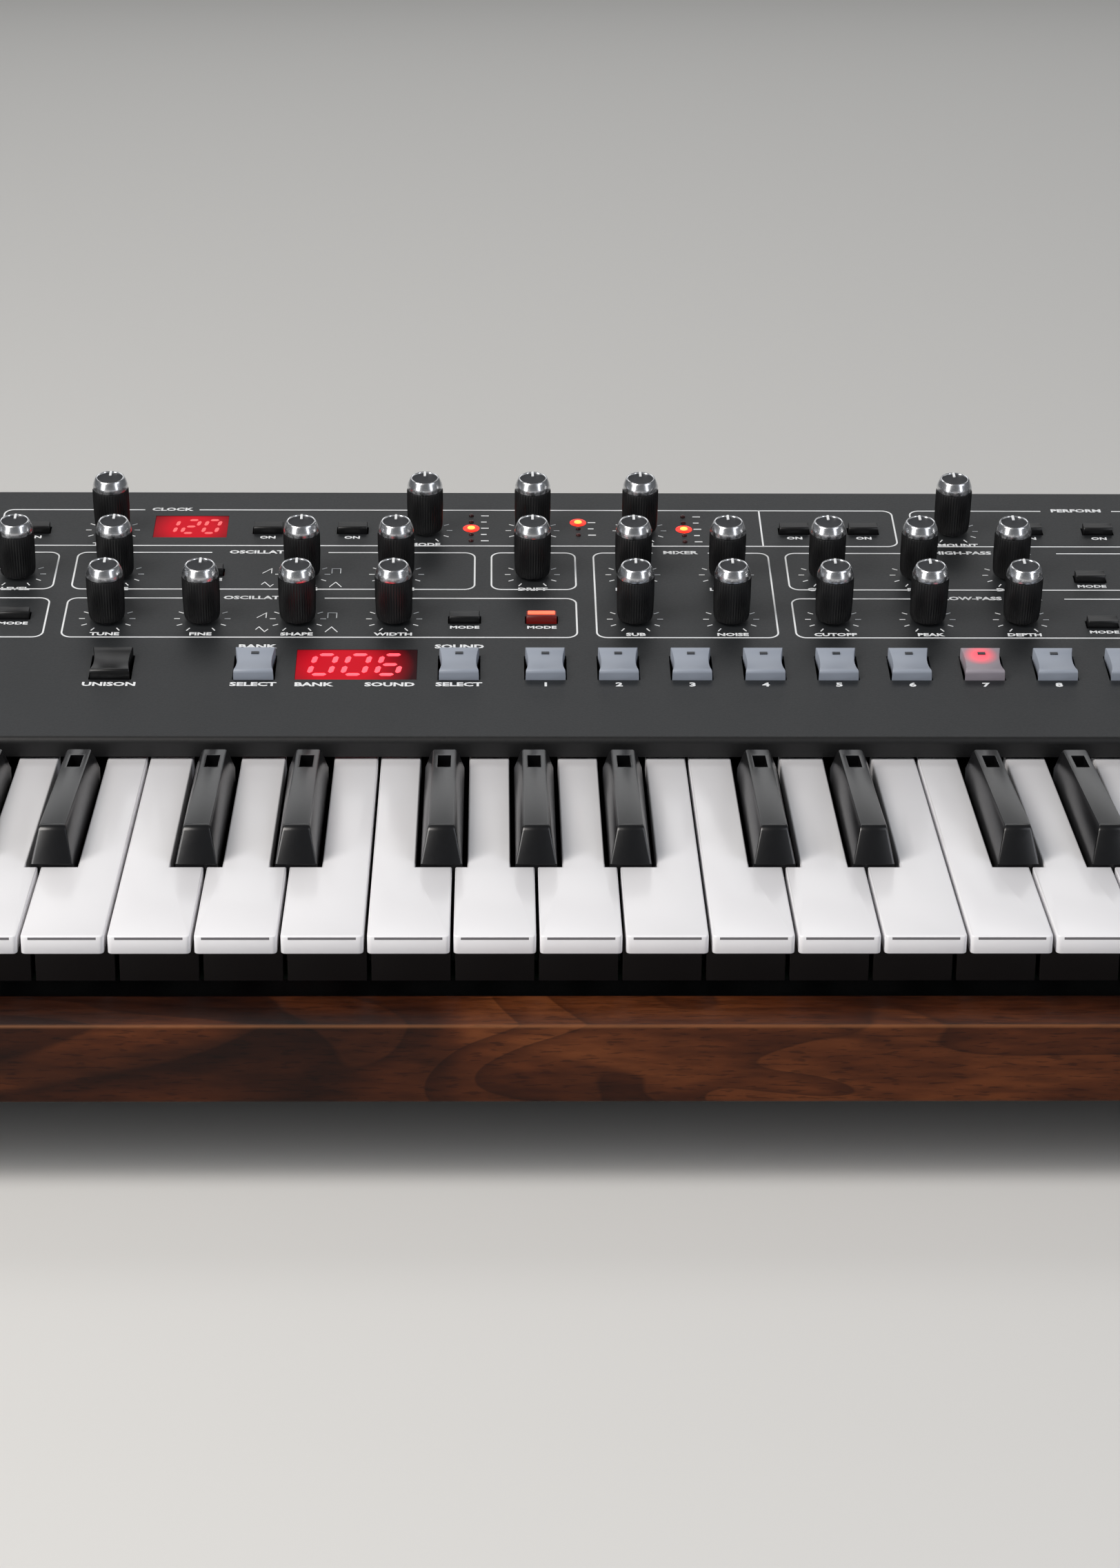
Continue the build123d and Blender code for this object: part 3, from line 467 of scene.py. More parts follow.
def white_key(bm, left, right, notch_left, notch_right):
    """A white key's top shell: plan outline drawn down to the lip, with soft edges."""
    plan = [(left, KEY_FRONT), (right, KEY_FRONT)]
    if notch_right < right - MM:
        plan += [(right, SHOULDER), (notch_right, SHOULDER)]
    plan += [(notch_right, KEY_REAR), (notch_left, KEY_REAR)]
    if notch_left > left + MM:
        plan += [(notch_left, SHOULDER), (left, SHOULDER)]
    key = bmesh.new()
    slab(key, plan, KEY_LIP, KEY_TOP)
    bmesh.ops.recalc_face_normals(key, faces=key.faces)
    front = [e for e in upright(key.edges) if e.verts[0].co.y < KEY_FRONT + 0.1 * MM]
    bevel(key, front, 1.3 * MM, 4)
    rim = [e for e in key.edges if all(v.co.z > KEY_TOP - 0.01 * MM for v in e.verts)]
    bevel(key, rim, 0.45 * MM, 3)
    foot = [
        e for e in key.edges
        if all(v.co.z < KEY_LIP + 0.01 * MM and v.co.y < KEY_FRONT + 2 * MM for v in e.verts)
    ]
    bevel(key, foot, 0.25 * MM, 2)
    copy_into(bm, key, UNTURNED)
    key.free()


def painted_lip_shadow(bm, left, right):
    """Painted shadow: a grey strip across a key's front, just below its top edge, in place of the fine
    shadow line there.
    """
    box(bm, (left + 2.0 * MM, KEY_FRONT - 0.02 * MM, KEY_TOP - 1.1 * MM),
        (right - 2.0 * MM, KEY_FRONT + 0.4 * MM, KEY_TOP - 0.38 * MM))


def black_key(bm, x, low, high):
    """A black key's cap: upright below, drawn in above, raked at the front and falling to the rear."""
    start, end = low.y, low.y + BLACK_LENGTH
    height = high.z - KEY_TOP
    foot, waist = -4.0 * MM, 0.4 * MM
    key = bmesh.new()
    side = [
        (start, foot), (start, waist), (start + BLACK_RAKE, height), (end - 0.6 * MM, BLACK_REAR),
        (end, BLACK_REAR - 0.7 * MM), (end, waist), (end, foot),
    ]
    flank = key.faces.new([key.verts.new((-1.0, y, KEY_TOP + z)) for y, z in side])
    drawn_out(key, [flank], (2, 0, 0))
    cut(key, (0, 0, KEY_TOP + waist), Z_AXIS)
    for vert in key.verts:
        vert.co.x *= BLACK_CROWN if vert.co.z > KEY_TOP + 1 * MM else BLACK_FOOT
    bmesh.ops.recalc_face_normals(key, faces=key.faces)
    crown = [e for e in key.edges if all(abs(v.co.z - KEY_TOP - height) < 0.1 * MM for v in e.verts)]
    bevel(key, crown, 1.7 * MM, 3)
    long_edges = [
        e for e in key.edges
        if abs(e.verts[0].co.x - e.verts[1].co.x) < 3 * MM and len(e.link_faces) == 2
        and all(v.co.z > KEY_TOP + 0.3 * MM for v in e.verts) and e.calc_face_angle() > radians(30)
        and abs(e.verts[0].co.z - e.verts[1].co.z) + abs(e.verts[0].co.y - e.verts[1].co.y) > 0.1 * MM
    ]
    bevel(key, long_edges, 0.65 * MM, 2)
    window = [end - back for back in WINDOW]
    for y in window:
        cut(key, (0, y, 0), Y_AXIS)
    middle = [
        f for f in key.faces
        if f.normal.z > 0.9 and window[0] < f.calc_center_median().y < window[1]
        and abs(f.calc_center_median().x) < MM
    ]
    bmesh.ops.inset_region(key, faces=middle, thickness=WINDOW_WALL, use_boundary=True,
                           use_even_offset=True)
    drawn_out(key, middle, (0, 0, -WINDOW_DEPTH))
    bmesh.ops.delete(key, geom=middle, context="FACES")
    copy_into(bm, key, Matrix.Translation((x, 0, 0)))
    key.free()


def build_keys():
    """All keys: white shells with their dark weights below, and black caps."""
    for group in KEY_GROUPS:
        solids = solids_of(group)
        shells = bmesh.new()
        if group.endswith("_sharp"):
            for low, high in solids:
                black_key(shells, (low.x + high.x) / 2, low, high)
            piece(group + "_caps", shells, KEY_BLACK, group, replaces=[group])
            continue
        weights, lip_shadows = bmesh.new(), bmesh.new()
        for low, high in solids:
            left, right = low.x, high.x
            white_key(shells, left, right, *notches(left, right))
            painted_lip_shadow(lip_shadows, left, right)
            box(weights, (left + 0.12 * MM, WEIGHT_FRONT, WEIGHT_BOTTOM),
                (right - 0.12 * MM, SHOULDER, KEY_LIP - 0.02 * MM))
        bevel(weights, upright(weights.edges), 0.3 * MM, 2)
        piece(group + "_shells", shells, KEY_WHITE, group, replaces=[group])
        piece(group + "_weights", weights, KEY_WEIGHT, group)
        piece(group + "_painted_lip_shadows", lip_shadows, LIP_SHADOW_GREY, group)


build_keys()


# ---------------------------------------------------------------- knobs

# Radius and height, in millimetres above the panel.
KNOB_BODY = [
    (0, 1.0), (5.0, 1.0), (5.6, 1.3), (5.8, 2.2), (5.9, 4.0), (6.05, 9.0), (6.05, 15.4),
    (5.75, 15.85), (0, 15.85),
]
KNOB_CAP = [
    (0, 15.9), (5.6, 15.9), (5.85, 16.15), (5.88, 17.0), (5.6, 17.9), (4.95, 19.5),
    (4.75, 19.85), (4.5, 19.98), (4.25, 19.9), (4.1, 19.5), (0, 19.5),
]
KNOB_DISH = [(0, 19.3), (4.08, 19.3), (4.08, 19.62), (2.5, 19.55), (0, 19.53)]
RIBS = 44
GROOVE = 0.955


def in_mm(profile):
    """A profile of millimetres, in metres."""
    return [(r * MM, h * MM) for r, h in profile]


def knob_body():
    """Moulded skirt with fine upright ribs between its rounded ends."""
    bm = bmesh.new()
    turned(bm, in_mm(KNOB_BODY), RIBS * 2)
    for vert in bm.verts:
        step = round(atan2(vert.co.y, vert.co.x) / (pi / RIBS))
        if step % 2 and 1.5 * MM < vert.co.z < 15.6 * MM:
            vert.co.x *= GROOVE
            vert.co.y *= GROOVE
    return bm


def knob_cap():
    """Bright cap that narrows to a rounded rim, open in the middle."""
    bm = bmesh.new()
    turned(bm, in_mm(KNOB_CAP), 56)
    return bm


def knob_dish():
    """Shallow dish within the cap's rim, coloured dark as a painted reflection."""
    bm = bmesh.new()
    turned(bm, in_mm(KNOB_DISH), 40)
    return bm


def knob_pointer():
    """White line from the dish to the rear rim."""
    bm = bmesh.new()
    box(bm, (-0.42 * MM, 1.7 * MM, 19.5 * MM), (0.42 * MM, 4.7 * MM, 19.98 * MM))
    bevel(bm, bm.edges[:], 0.1 * MM, 1)
    return bm


def build_knobs():
    """Every knob: ribbed body, bright cap, dish coloured dark as a painted reflection, and white pointer."""
    side_places = [
        PANEL @ Matrix.Translation(((low.x + high.x) / 2, (low.y + high.y) / 2, 0))
        for low, high in solids_of("side_knobs", PANEL.inverted())
    ]
    groups = {name: [Matrix.Translation(j["pos_m"]) @ Matrix.Rotation(TILT, 4, "X")]
              for name, j in knob_joints.items()}
    groups["side_knobs"] = side_places
    makers = (
        ("body", knob_body, KNOB_BLACK), ("cap", knob_cap, CAP_METAL), ("dish", knob_dish, DISH_DARK_REFLECTION_METAL),
        ("pointer", knob_pointer, INK),
    )
    for name, places in groups.items():
        body = name if name in knob_joints else "case"
        for part_name, make, material in makers:
            part = make()
            whole = bmesh.new()
            for place in places:
                copy_into(whole, part, place)
            part.free()
            stands_for = [name] if part_name == "body" else []
            piece(f"{name}_{part_name}", whole, material, body, replaces=stands_for)


build_knobs()


# ---------------------------------------------------------------- buttons

# A black button deeper than this is one of the large square ones.
LARGE_BUTTON = 8 * MM


def button_cap(width, depth, height, pinch, dish):
    """A push button: sides that pull in, and a top that dips between its front and rear edges."""
    bm = bmesh.new()
    box(bm, (-width / 2, -depth / 2, -2 * MM), (width / 2, depth / 2, height))
    strips = 7
    for i in range(1, strips):
        cut(bm, (0, -depth / 2 + depth * i / strips, 0), Y_AXIS)
    for vert in bm.verts:
        bow = 1 - (2 * vert.co.y / depth) ** 2
        vert.co.x *= 1 - 2 * pinch / width * bow
        if vert.co.z > height - 0.1 * MM:
            vert.co.z -= dish * bow
    bmesh.ops.recalc_face_normals(bm, faces=bm.faces)
    front = [
        e for e in bm.edges
        if all(v.co.z > 0 and v.co.y < -depth / 2 + 0.1 * MM for v in e.verts)
        and abs(e.verts[0].co.x - e.verts[1].co.x) > MM
    ]
    bevel(bm, front, min(1.2 * MM, height * 0.4), 3)
    rim = [
        e for e in bm.edges
        if len(e.link_faces) == 2 and e.calc_face_angle() > radians(60) and all(v.co.z > 0 for v in e.verts)
    ]
    bevel(bm, rim, 0.3 * MM, 2)
    return bm


def rows(node):
    """Centre and size of each button's cap, on the panel's axes; the CAD button has a wider flange below."""
    flange = 2.4 * MM
    found = []
    for low, high in solids_of(node, PANEL.inverted()):
        centre = (low + high) / 2
        found.append((centre.x, centre.y, high.x - low.x - flange, high.y - low.y - flange, high.z))
    return found


def build_buttons():
    """Grey and black caps; one of each is lit."""
    caps = {"grey": bmesh.new(), "pink": bmesh.new(), "slots": bmesh.new()}
    for x, w, width, depth, height in rows("grey_buttons"):
        cap = button_cap(width, depth, height, 0.8 * MM, 0.9 * MM)
        place = PANEL @ Matrix.Translation((x, w, 0))
        copy_into(caps["pink" if abs(x - LIT_PROGRAM_X) < 3 * MM else "grey"], cap, place)
        cap.free()
        slot = bmesh.new()
        box(slot, (-1.2 * MM, depth / 2 - 3.6 * MM, height - 0.9 * MM),
            (1.2 * MM, depth / 2 - 2.4 * MM, height - 0.3 * MM))
        copy_into(caps["slots"], slot, place)
        slot.free()
    piece("grey_button_caps", caps["grey"], GREY_PLASTIC, "grey_buttons",
          replaces=["grey_buttons"])
    piece("lit_grey_button_cap", caps["pink"], LIT_BUTTON, "grey_buttons")
    piece("grey_button_slots", caps["slots"], DARK_SLOT, "grey_buttons")
    black = {"black": bmesh.new(), "warm": bmesh.new(), "lens": bmesh.new()}
    for x, w, width, depth, height in rows("black_buttons"):
        lit = abs(x - LIT_BLACK_X) < 2 * MM and abs(w - LIT_BLACK_W) < 2 * MM
        pinch, dish = (0.8 * MM, 0.9 * MM) if depth > LARGE_BUTTON else (0.05 * MM, 0.1 * MM)
        cap = button_cap(width, depth, height, pinch, dish)
        place = PANEL @ Matrix.Translation((x, w, 0))
        copy_into(black["warm" if lit else "black"], cap, place)
        cap.free()
        if lit:
            lens = bmesh.new()
            box(lens, (-width / 2 + 0.5 * MM, -0.4 * MM, height - 0.6 * MM),
                (width / 2 - 0.5 * MM, depth / 2 - 0.3 * MM, height + 0.12 * MM))
            bevel(lens, lens.edges[:], 0.15 * MM, 1)
            copy_into(black["lens"], lens, place)
            lens.free()
    piece("black_button_caps", black["black"], SMALL_BLACK, "black_buttons",
          replaces=["black_buttons"])
    piece("lit_black_button_caps", black["warm"], WARM_BUTTON, "black_buttons")
    piece("lit_button_lenses", black["lens"], LIT_LENS, "black_buttons")


build_buttons()


# ---------------------------------------------------------------- printed panel

INK_HEIGHT = 0.06 * MM
LINE = 0.55 * MM
FINE_LINE = 0.32 * MM
CORNER = 3.6 * MM


def outline(bm, left, right, low, high):
    """A printed rectangle with round corners, in millimetres on the panel."""
    sheet = bmesh.new()
    centre = ((left + right) / 2 * MM, (low + high) / 2 * MM, 0)
    bmesh.ops.create_grid(sheet, x_segments=1, y_segments=1, size=0.5)
    bmesh.ops.scale(sheet, verts=sheet.verts, vec=((right - left) * MM, (high - low) * MM, 1))
    bmesh.ops.translate(sheet, verts=sheet.verts, vec=centre)
    bmesh.ops.bevel(sheet, geom=sheet.verts[:], offset=CORNER, offset_type="OFFSET", segments=8,
                    affect="VERTICES", profile=0.5, material=-1)
    inner = sheet.faces[:]
    bmesh.ops.inset_region(sheet, faces=inner, thickness=LINE, use_boundary=True, use_even_offset=True)
    bmesh.ops.delete(sheet, geom=inner, context="FACES")
    drawn_out(sheet, sheet.faces[:], (0, 0, INK_HEIGHT))
    copy_into(bm, sheet, PANEL)
    sheet.free()


# Left, right, low and high edge of each section on the panel, and where its title goes.
FRAMES = [
    (-196, 106.8, 126.2, 152.8, -139, "CLOCK"), (112.4, 250, 126.2, 152.8, 170, "PERFORM"),
    (-168.2, -35.4, 95.6, 121.8, -104, "OSCILLATOR 1"), (-30.4, -2.0, 95.6, 121.8, None, ""),
    (3.6, 62.6, 63.3, 121.8, 33, "MIXER"),
    (67.8, 196, 95.6, 121.8, 134, "HIGH-PASS FILTER"), (67.8, 196, 63.3, 90.0, 134, "LOW-PASS FILTER"),
    (-168.4, -2.2, 63.3, 90.0, -104, "OSCILLATOR 2"),
    (-298, -173.8, 95.6, 121.8, -232, "OSCILLATION"), (-298, -173.8, 63.3, 90.0, -232, "MODULATION"),
    (-372, -202, 126.2, 152.8, -290, "EFFECTS"),
    (201.6, 362, 95.6, 121.8, 280, "AMPLIFIER"), (201.6, 362, 63.3, 90.0, 280, "OUTPUT"),
]
KNOB_LABELS = {
    "tempo_knob": "TEMPO", "arp_mode_knob": "MODE", "arp_range_knob": "RANGE", "arp_rate_knob": "RATE",
    "aftertouch_knob": "AMOUNT", "osc_1_frequency_knob": "TUNE", "osc_1_shape_knob": "SHAPE",
    "osc_1_width_knob": "WIDTH", "drift_knob": "DRIFT", "osc_1_level_knob": "LEVEL 1",
    "osc_2_level_knob": "LEVEL 2", "high_pass_cutoff_knob": "CUTOFF", "high_pass_resonance_knob": "PEAK",
    "high_pass_envelope_knob": "DEPTH", "osc_2_frequency_knob": "TUNE", "osc_2_fine_knob": "FINE",
    "osc_2_shape_knob": "SHAPE", "osc_2_width_knob": "WIDTH", "sub_level_knob": "SUB",
    "noise_level_knob": "NOISE", "low_pass_cutoff_knob": "CUTOFF", "low_pass_resonance_knob": "PEAK",
    "low_pass_envelope_knob": "DEPTH",
}
LARGE_LABELS = ["HOLD", "GLIDE", "SPLIT", "UNISON", "WRITE", "GLOBAL", "PRESET"]
# The letters are wider and bolder than the plain font's.
WIDER = 1.4
BOLDER = 0.035
TITLE_SIZE = 2.9 * MM
LABEL_SIZE = 2.6 * MM
BUTTON_LABEL_SIZE = 3.2 * MM
SMALL_LABEL_SIZE = 2.4 * MM
# How far below a knob's or a large button's centre its label stands.
LABEL_DROP = 10.2 * MM
BUTTON_LABEL_DROP = 10.6 * MM
# Each wave's corners in small steps, and where it starts from its knob, in millimetres.
WAVES = [
    (((0, 0), (1, 2), (3, -2), (4, 0)), -13.2, -7.0), (((0, -2), (3, 2), (3, -2)), -13.2, 2.4),
    (((0, -2), (0, 2), (3, 2), (3, -2)), 9.6, 2.4), (((0, -2), (2, 2), (4, -2)), 9.2, -7.0),
]
WAVE_STEP = (0.95, 0.8)


def letters(bm, words, x, w, size=LABEL_SIZE):
    """Printed words, centred at a place on the panel."""
    curve = bpy.data.curves.new("words", "FONT")
    curve.body = words
    curve.align_x, curve.align_y = "CENTER", "CENTER"
    curve.size = size
    curve.extrude = INK_HEIGHT / 2
    curve.offset = size * BOLDER
    curve.resolution_u = 2
    written = bpy.data.objects.new("words", curve)
    mesh = bpy.data.meshes.new_from_object(written)
    place = PANEL @ Matrix.Translation((x, w, INK_HEIGHT / 2))
    mesh.transform(place @ Matrix.Diagonal((WIDER, 1, 1, 1)))
    bm.from_mesh(mesh)
    bpy.data.objects.remove(written)
    bpy.data.curves.remove(curve)
    bpy.data.meshes.remove(mesh)


def stroke(bm, start, end, width=FINE_LINE):
    """A short printed line between two places on the panel."""
    start, end = Vector((*start, 0)), Vector((*end, 0))
    run = end - start
    line = bmesh.new()
    box(line, (-width / 2, -width / 2, 0), (run.length + width / 2, width / 2, INK_HEIGHT))
    turn = Matrix.Rotation(atan2(run.y, run.x), 4, "Z")
    copy_into(bm, line, PANEL @ Matrix.Translation(start) @ turn)
    line.free()


def on_panel(point):
    """Panel coordinates of a point."""
    return PANEL.inverted() @ Vector(point)


def print_outlines():
    """Section frames, each with a gap in its top line where its title stands."""
    ink = bmesh.new()
    for left, right, low, high, title_x, title in FRAMES:
        frame_ink = bmesh.new()
        outline(frame_ink, left, right, low, high)
        if title:
            # Half the gap: half the letters' width, and 2 mm clear of them.
            half = (len(title) * 1.45 + 2.0) * MM
            for side in (-1, 1):
                cut(frame_ink, (title_x * MM + side * half, 0, 0), X_AXIS)
            inside = [
                f for f in frame_ink.faces
                if abs(f.calc_center_median().x - title_x * MM) < half
                and on_panel(f.calc_center_median()).y > (high - 1) * MM
            ]
            bmesh.ops.delete(frame_ink, geom=inside, context="FACES")
            bmesh.ops.holes_fill(frame_ink, edges=frame_ink.edges[:], sides=4)
            letters(ink, title, title_x * MM, high * MM, TITLE_SIZE)
        copy_into(ink, frame_ink, UNTURNED)
        frame_ink.free()
    stroke(ink, (61.2 * MM, 126.4 * MM), (61.2 * MM, 152.6 * MM), LINE)
    piece("panel_outlines", ink, INK, "case")


def print_scales():
    """Eleven ticks round each knob, and its label below."""
    ticks, tick = bmesh.new(), bmesh.new()
    box(tick, (-0.19 * MM, 7.2 * MM, 0), (0.19 * MM, 9.1 * MM, INK_HEIGHT))
    places = {name: on_panel(j["pos_m"]) for name, j in knob_joints.items()}
    for i, (low, high) in enumerate(solids_of("side_knobs", PANEL.inverted())):
        places[f"side_{i}"] = (low + high) / 2
    for name, place in places.items():
        for i in range(11):
            turn = Matrix.Rotation(radians(-150 + 30 * i), 4, "Z")
            copy_into(ticks, tick, PANEL @ Matrix.Translation((place.x, place.y, 0)) @ turn)
        letters(ticks, KNOB_LABELS.get(name, "LEVEL"), place.x, place.y - LABEL_DROP)
    tick.free()
    piece("knob_scales", ticks, INK, "case")


def print_button_labels():
    """Digits below the program buttons, and short labels below the others."""
    ink = bmesh.new()
    grey = sorted(rows("grey_buttons"))
    for digit, (x, w, *_) in zip("1234567890", grey[-10:]):
        letters(ink, digit, x, w - BUTTON_LABEL_DROP, BUTTON_LABEL_SIZE)
    for x, w, *_ in grey[:2]:
        letters(ink, "SELECT", x, w - BUTTON_LABEL_DROP, BUTTON_LABEL_SIZE)
        letters(ink, "BANK" if x < -80 * MM else "SOUND", x, w + 13.6 * MM, BUTTON_LABEL_SIZE)
    for words, x in (("BANK", -86 * MM), ("SOUND", -62 * MM)):
        letters(ink, words, x, 33.2 * MM, BUTTON_LABEL_SIZE)
    large_labels = iter(LARGE_LABELS)
    for x, w, _, depth, _ in rows("black_buttons"):
        if depth > LARGE_BUTTON:
            letters(ink, next(large_labels), x, w - BUTTON_LABEL_DROP, BUTTON_LABEL_SIZE)
        else:
            letters(ink, "ON" if w > 120 * MM else "MODE", x, w - 5.0 * MM, SMALL_LABEL_SIZE)
    piece("button_labels", ink, INK, "case")


def print_waves():
    """Small wave shapes beside the shape knobs."""
    ink = bmesh.new()
    for name in ("osc_1_shape_knob", "osc_2_shape_knob"):
        at = on_panel(knob_joints[name]["pos_m"])
        for shape, dx, dw in WAVES:
            corners = [
                (at.x + (dx + x * WAVE_STEP[0]) * MM, at.y + (dw + w * WAVE_STEP[1]) * MM)
                for x, w in shape
            ]
            for pair in zip(corners, corners[1:]):
                stroke(ink, *pair)
    piece("wave_symbols", ink, INK, "case")


print_outlines()
print_scales()
print_button_labels()
print_waves()


# ---------------------------------------------------------------- indicator lights and displays

# Each column: x, lowest and highest light on the panel, how many, and which one is lit from the top.
LIGHT_COLUMNS = [(-37.0, 130.2, 148.4, 5, 2), (-0.8, 134.4, 143.6, 3, 0), (35.0, 129.7, 147.9, 5, 2)]
DOME = [(1, 0), (0.94, 0.35), (0.6, 0.6), (0, 0.7)]
# Painted glow: radius and height in millimetres of a low glowing ring round each lit light, standing for its
# halo of light on the panel.
GLOW_RING = [(1.4, 0), (1.4, 0.3), (1.8, 0.25), (2.6, 0.08), (2.8, 0)]
# Each segment's ends: how many digit widths across and half heights up.
SEGMENTS = {
    "a": (0, 2, 1, 2), "b": (1, 1, 1, 2), "c": (1, 0, 1, 1), "d": (0, 0, 1, 0), "e": (0, 0, 0, 1),
    "f": (0, 1, 0, 2), "g": (0, 1, 1, 1),
}
DIGITS = {"0": "abcdef", "1": "bc", "2": "abged", "6": "acdefg"}
DIGIT_LEAN = 0.16
SEGMENT_THICK = 0.13


def build_lights():
    """Small round lights, a ring of painted red glow round each lit one, and a printed dash beside each."""
    lit, halo, dark, dashes = bmesh.new(), bmesh.new(), bmesh.new(), bmesh.new()
    for x, low, high, count, on in LIGHT_COLUMNS:
        for i in range(count):
            w = high - (high - low) * i / (count - 1)
            place = PANEL @ Matrix.Translation((x * MM, w * MM, 0))
            dome = bmesh.new()
            radius = 1.35 if i == on else 0.85
            turned(dome, in_mm([(radius * share, h) for share, h in DOME]), 20)
            copy_into(lit if i == on else dark, dome, place)
            dome.free()
            if i == on:
                rim = bmesh.new()
                turned(rim, in_mm(GLOW_RING), 28)
                copy_into(halo, rim, place)
                rim.free()
            # Every other dash is shorter.
            dash_end = x + (4.9 if i % 2 else 5.6)
            stroke(dashes, ((x + 3.6) * MM, w * MM), (dash_end * MM, w * MM), 0.6 * MM)
    piece("lit_indicator_lights", lit, LIT_LED, "case")
    piece("painted_indicator_glows", halo, LED_HALO, "case")
    piece("dark_indicator_lights", dark, UNLIT_LED, "case")
    piece("indicator_dashes", dashes, INK, "case")


def build_digits(name, text, window, width, height, pitch, material):
    """Slanting seven-segment digits on the face of a display window."""
    bm = bmesh.new()
    low, high = window
    x, w, top = (low.x + high.x) / 2, (low.y + high.y) / 2, high.z
    thick = height * SEGMENT_THICK
    gap = thick * 0.65
    for i, digit in enumerate(text):
        centre = x + (i - (len(text) - 1) / 2) * pitch
        for segment in DIGITS[digit]:
            x0, h0, x1, h1 = SEGMENTS[segment]
            start = Vector(((x0 - 0.5) * width, (h0 - 1) * height / 2, 0))
            end = Vector(((x1 - 0.5) * width, (h1 - 1) * height / 2, 0))
            run = end - start
            bar = bmesh.new()
            box(bar, (gap, -thick / 2, 0), (run.length - gap, thick / 2, 0.12 * MM))
            bevel(bar, upright(bar.edges), thick * 0.42, 1)
            laid = Matrix.Translation(start) @ Matrix.Rotation(atan2(run.y, run.x), 4, "Z")
            bmesh.ops.transform(bar, matrix=laid, verts=bar.verts)
            for vert in bar.verts:
                vert.co.x += vert.co.y * DIGIT_LEAN
            copy_into(bm, bar, PANEL @ Matrix.Translation((centre, w, top)))
            bar.free()
    piece(name, bm, material, "case")


tempo_window, program_window = solids_of("display_windows", PANEL.inverted())
build_lights()
build_digits("tempo_digits", "120", tempo_window, 4.4 * MM, 9.4 * MM, 7.0 * MM, DIM_SEGMENT)
build_digits("program_digits", "006", program_window, 6.6 * MM, 12.6 * MM, 10.6 * MM, LIT_SEGMENT)


# ---------------------------------------------------------------- rear

# Every jack has an X below this one, and every other socket stands beyond it.
JACKS_END = -100 * MM


def build_rear():
    """The sockets again, with their jack nuts nickel plated where they stand out of the rear panel."""
    bm = bmesh.new()
    bm.from_mesh(frame["nodes"]["rear_sockets"].data)
    merge(bm, 1e-6)
    panel_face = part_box("rear_panel")[1].y
    for face in bm.faces:
        centre = face.calc_center_median()
        face.material_index = int(centre.y > panel_face and centre.x < JACKS_END)
    sockets = piece("socket_bodies", bm, SOCKET, "case", replaces=["rear_sockets"])
    sockets.data.materials.append(NICKEL)


build_rear()


# ---------------------------------------------------------------- CAD nodes that keep their shape

FINISHES = {
    "control_panel": PANEL_COAT_AND_LIP_SHADE, "wheel_plate": PANEL_COAT_AND_LIP_SHADE,
    "base_pan": CASE_COAT, "rear_panel": CASE_COAT, "keybed_frame": CASE_COAT,
    "left_cheek": WALNUT, "right_cheek": WALNUT, "front_rail": WALNUT,
    "key_contact_board": BOARD_GREEN, "main_board": BOARD_GREEN, "panel_board": BOARD_GREEN,
    "key_springs": ZINC, "power_supply": ZINC, "potentiometers": ZINC, "case_screws": ZINC,
    "power_inlet": SOCKET, "power_switch": SOCKET, "rubber_feet": RUBBER,
    "pitch_wheel": SMALL_BLACK, "mod_wheel": SMALL_BLACK, "display_windows": LIT_FIELD,
}
for node, material in FINISHES.items():
    finish_node(node, material)


# ---------------------------------------------------------------- stage

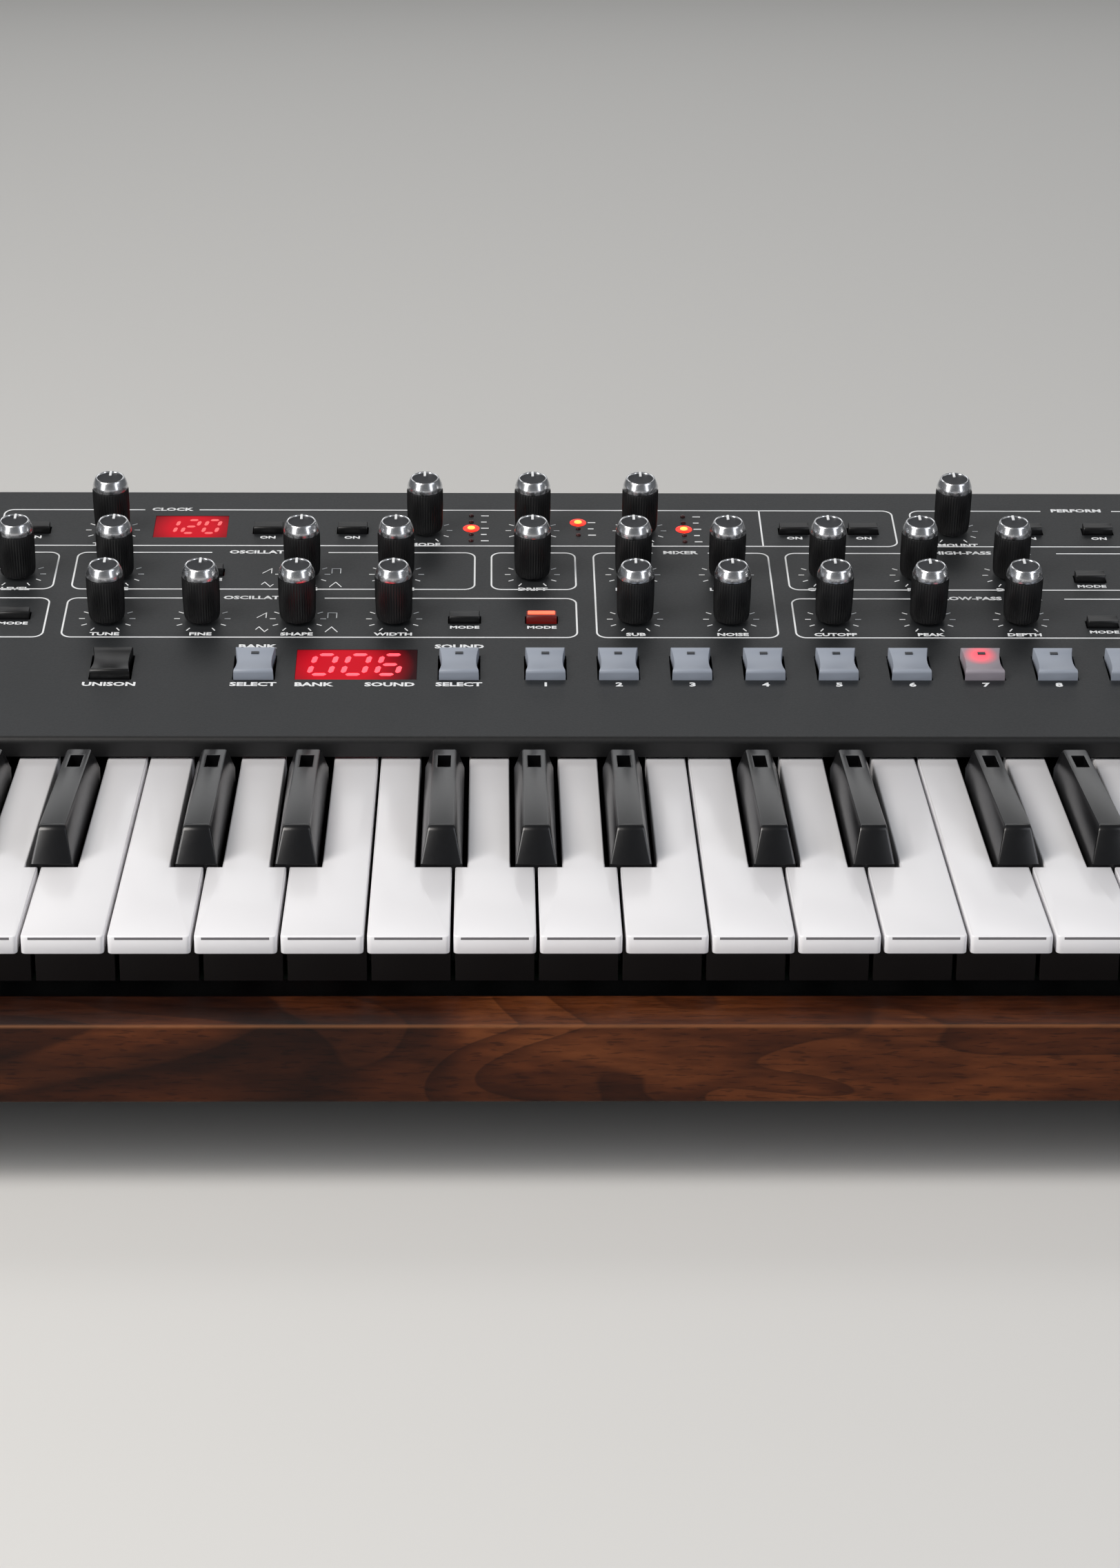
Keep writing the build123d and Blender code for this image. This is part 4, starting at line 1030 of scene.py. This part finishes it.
# Each light: its place, its two sides, its power in watts and its tone.
LIGHTS = [
    ("key_light", (-1.1, -0.7, 1.6), (0.9, 0.9), 27.0, "#fffaf5"),
    ("left_strip", (-1.25, -1.05, 0.62), (0.45, 1.1), 10.0, "#ffffff"),
    ("right_strip", (1.2, -1.15, 0.6), (0.3, 1.1), 4.0, "#f6f9ff"),
    ("fill_light", (1.2, -0.6, 1.2), (0.7, 1.2), 5.5, "#f2f6ff"),
    ("rear_light", (-0.2, 1.3, 1.5), (2.2, 0.6), 6.0, "#ffffff"),
    ("low_rear_light", (-0.1, 1.9, 0.72), (2.6, 0.5), 3.5, "#ffffff"),
]
MIDDLE = Vector((0, 0, 0.05))
# The camera: lens in millimetres, place in metres, and how it is turned, in degrees.
LENS = 84.24
CAMERA_AT = (-0.02883, -1.05654, 0.46617)
LOOK_DOWN, LOOK_RIGHT, LEAN = 21.1825, 1.0837, 0.4175


def build_stage():
    """Pale floor, a dim sky, soft lights that face the middle of the object, and the camera."""
    scene = bpy.context.scene
    bm = bmesh.new()
    bmesh.ops.create_grid(bm, x_segments=1, y_segments=1, size=4.0)
    mesh = bpy.data.meshes.new("floor")
    bm.to_mesh(mesh)
    bm.free()
    mesh.materials.append(new_material("pale_floor", Base_Color=colour("#d9d8d5"), Roughness=0.7))
    floor = bpy.data.objects.new("floor", mesh)
    scene.collection.objects.link(floor)
    world = bpy.data.worlds.new("studio")
    world.use_nodes = True
    sky = world.node_tree.nodes["Background"]
    sky.inputs["Color"].default_value = colour("#dfe3e8")
    sky.inputs["Strength"].default_value = 0.15
    scene.world = world
    for name, spot, size, power, tone in LIGHTS:
        light = bpy.data.lights.new(name, "AREA")
        light.shape = "RECTANGLE"
        light.size, light.size_y = size
        light.energy = power
        light.color = colour(tone)[:3]
        lamp = bpy.data.objects.new(name, light)
        lamp.location = spot
        aim = MIDDLE - Vector(spot)
        lamp.rotation_euler = aim.to_track_quat("-Z", "Y").to_euler()
        scene.collection.objects.link(lamp)
    camera = bpy.data.cameras.new("camera")
    camera.lens = LENS
    camera.sensor_width = 36.0
    camera.clip_end = 20.0
    eye = bpy.data.objects.new("camera", camera)
    eye.matrix_world = (
        Matrix.Translation(CAMERA_AT) @ Matrix.Rotation(-radians(LOOK_RIGHT), 4, "Z")
        @ Matrix.Rotation(radians(90 - LOOK_DOWN), 4, "X") @ Matrix.Rotation(radians(LEAN), 4, "Z")
    )
    scene.collection.objects.link(eye)
    scene.camera = eye
    scene.view_settings.view_transform = "Standard"


build_stage()
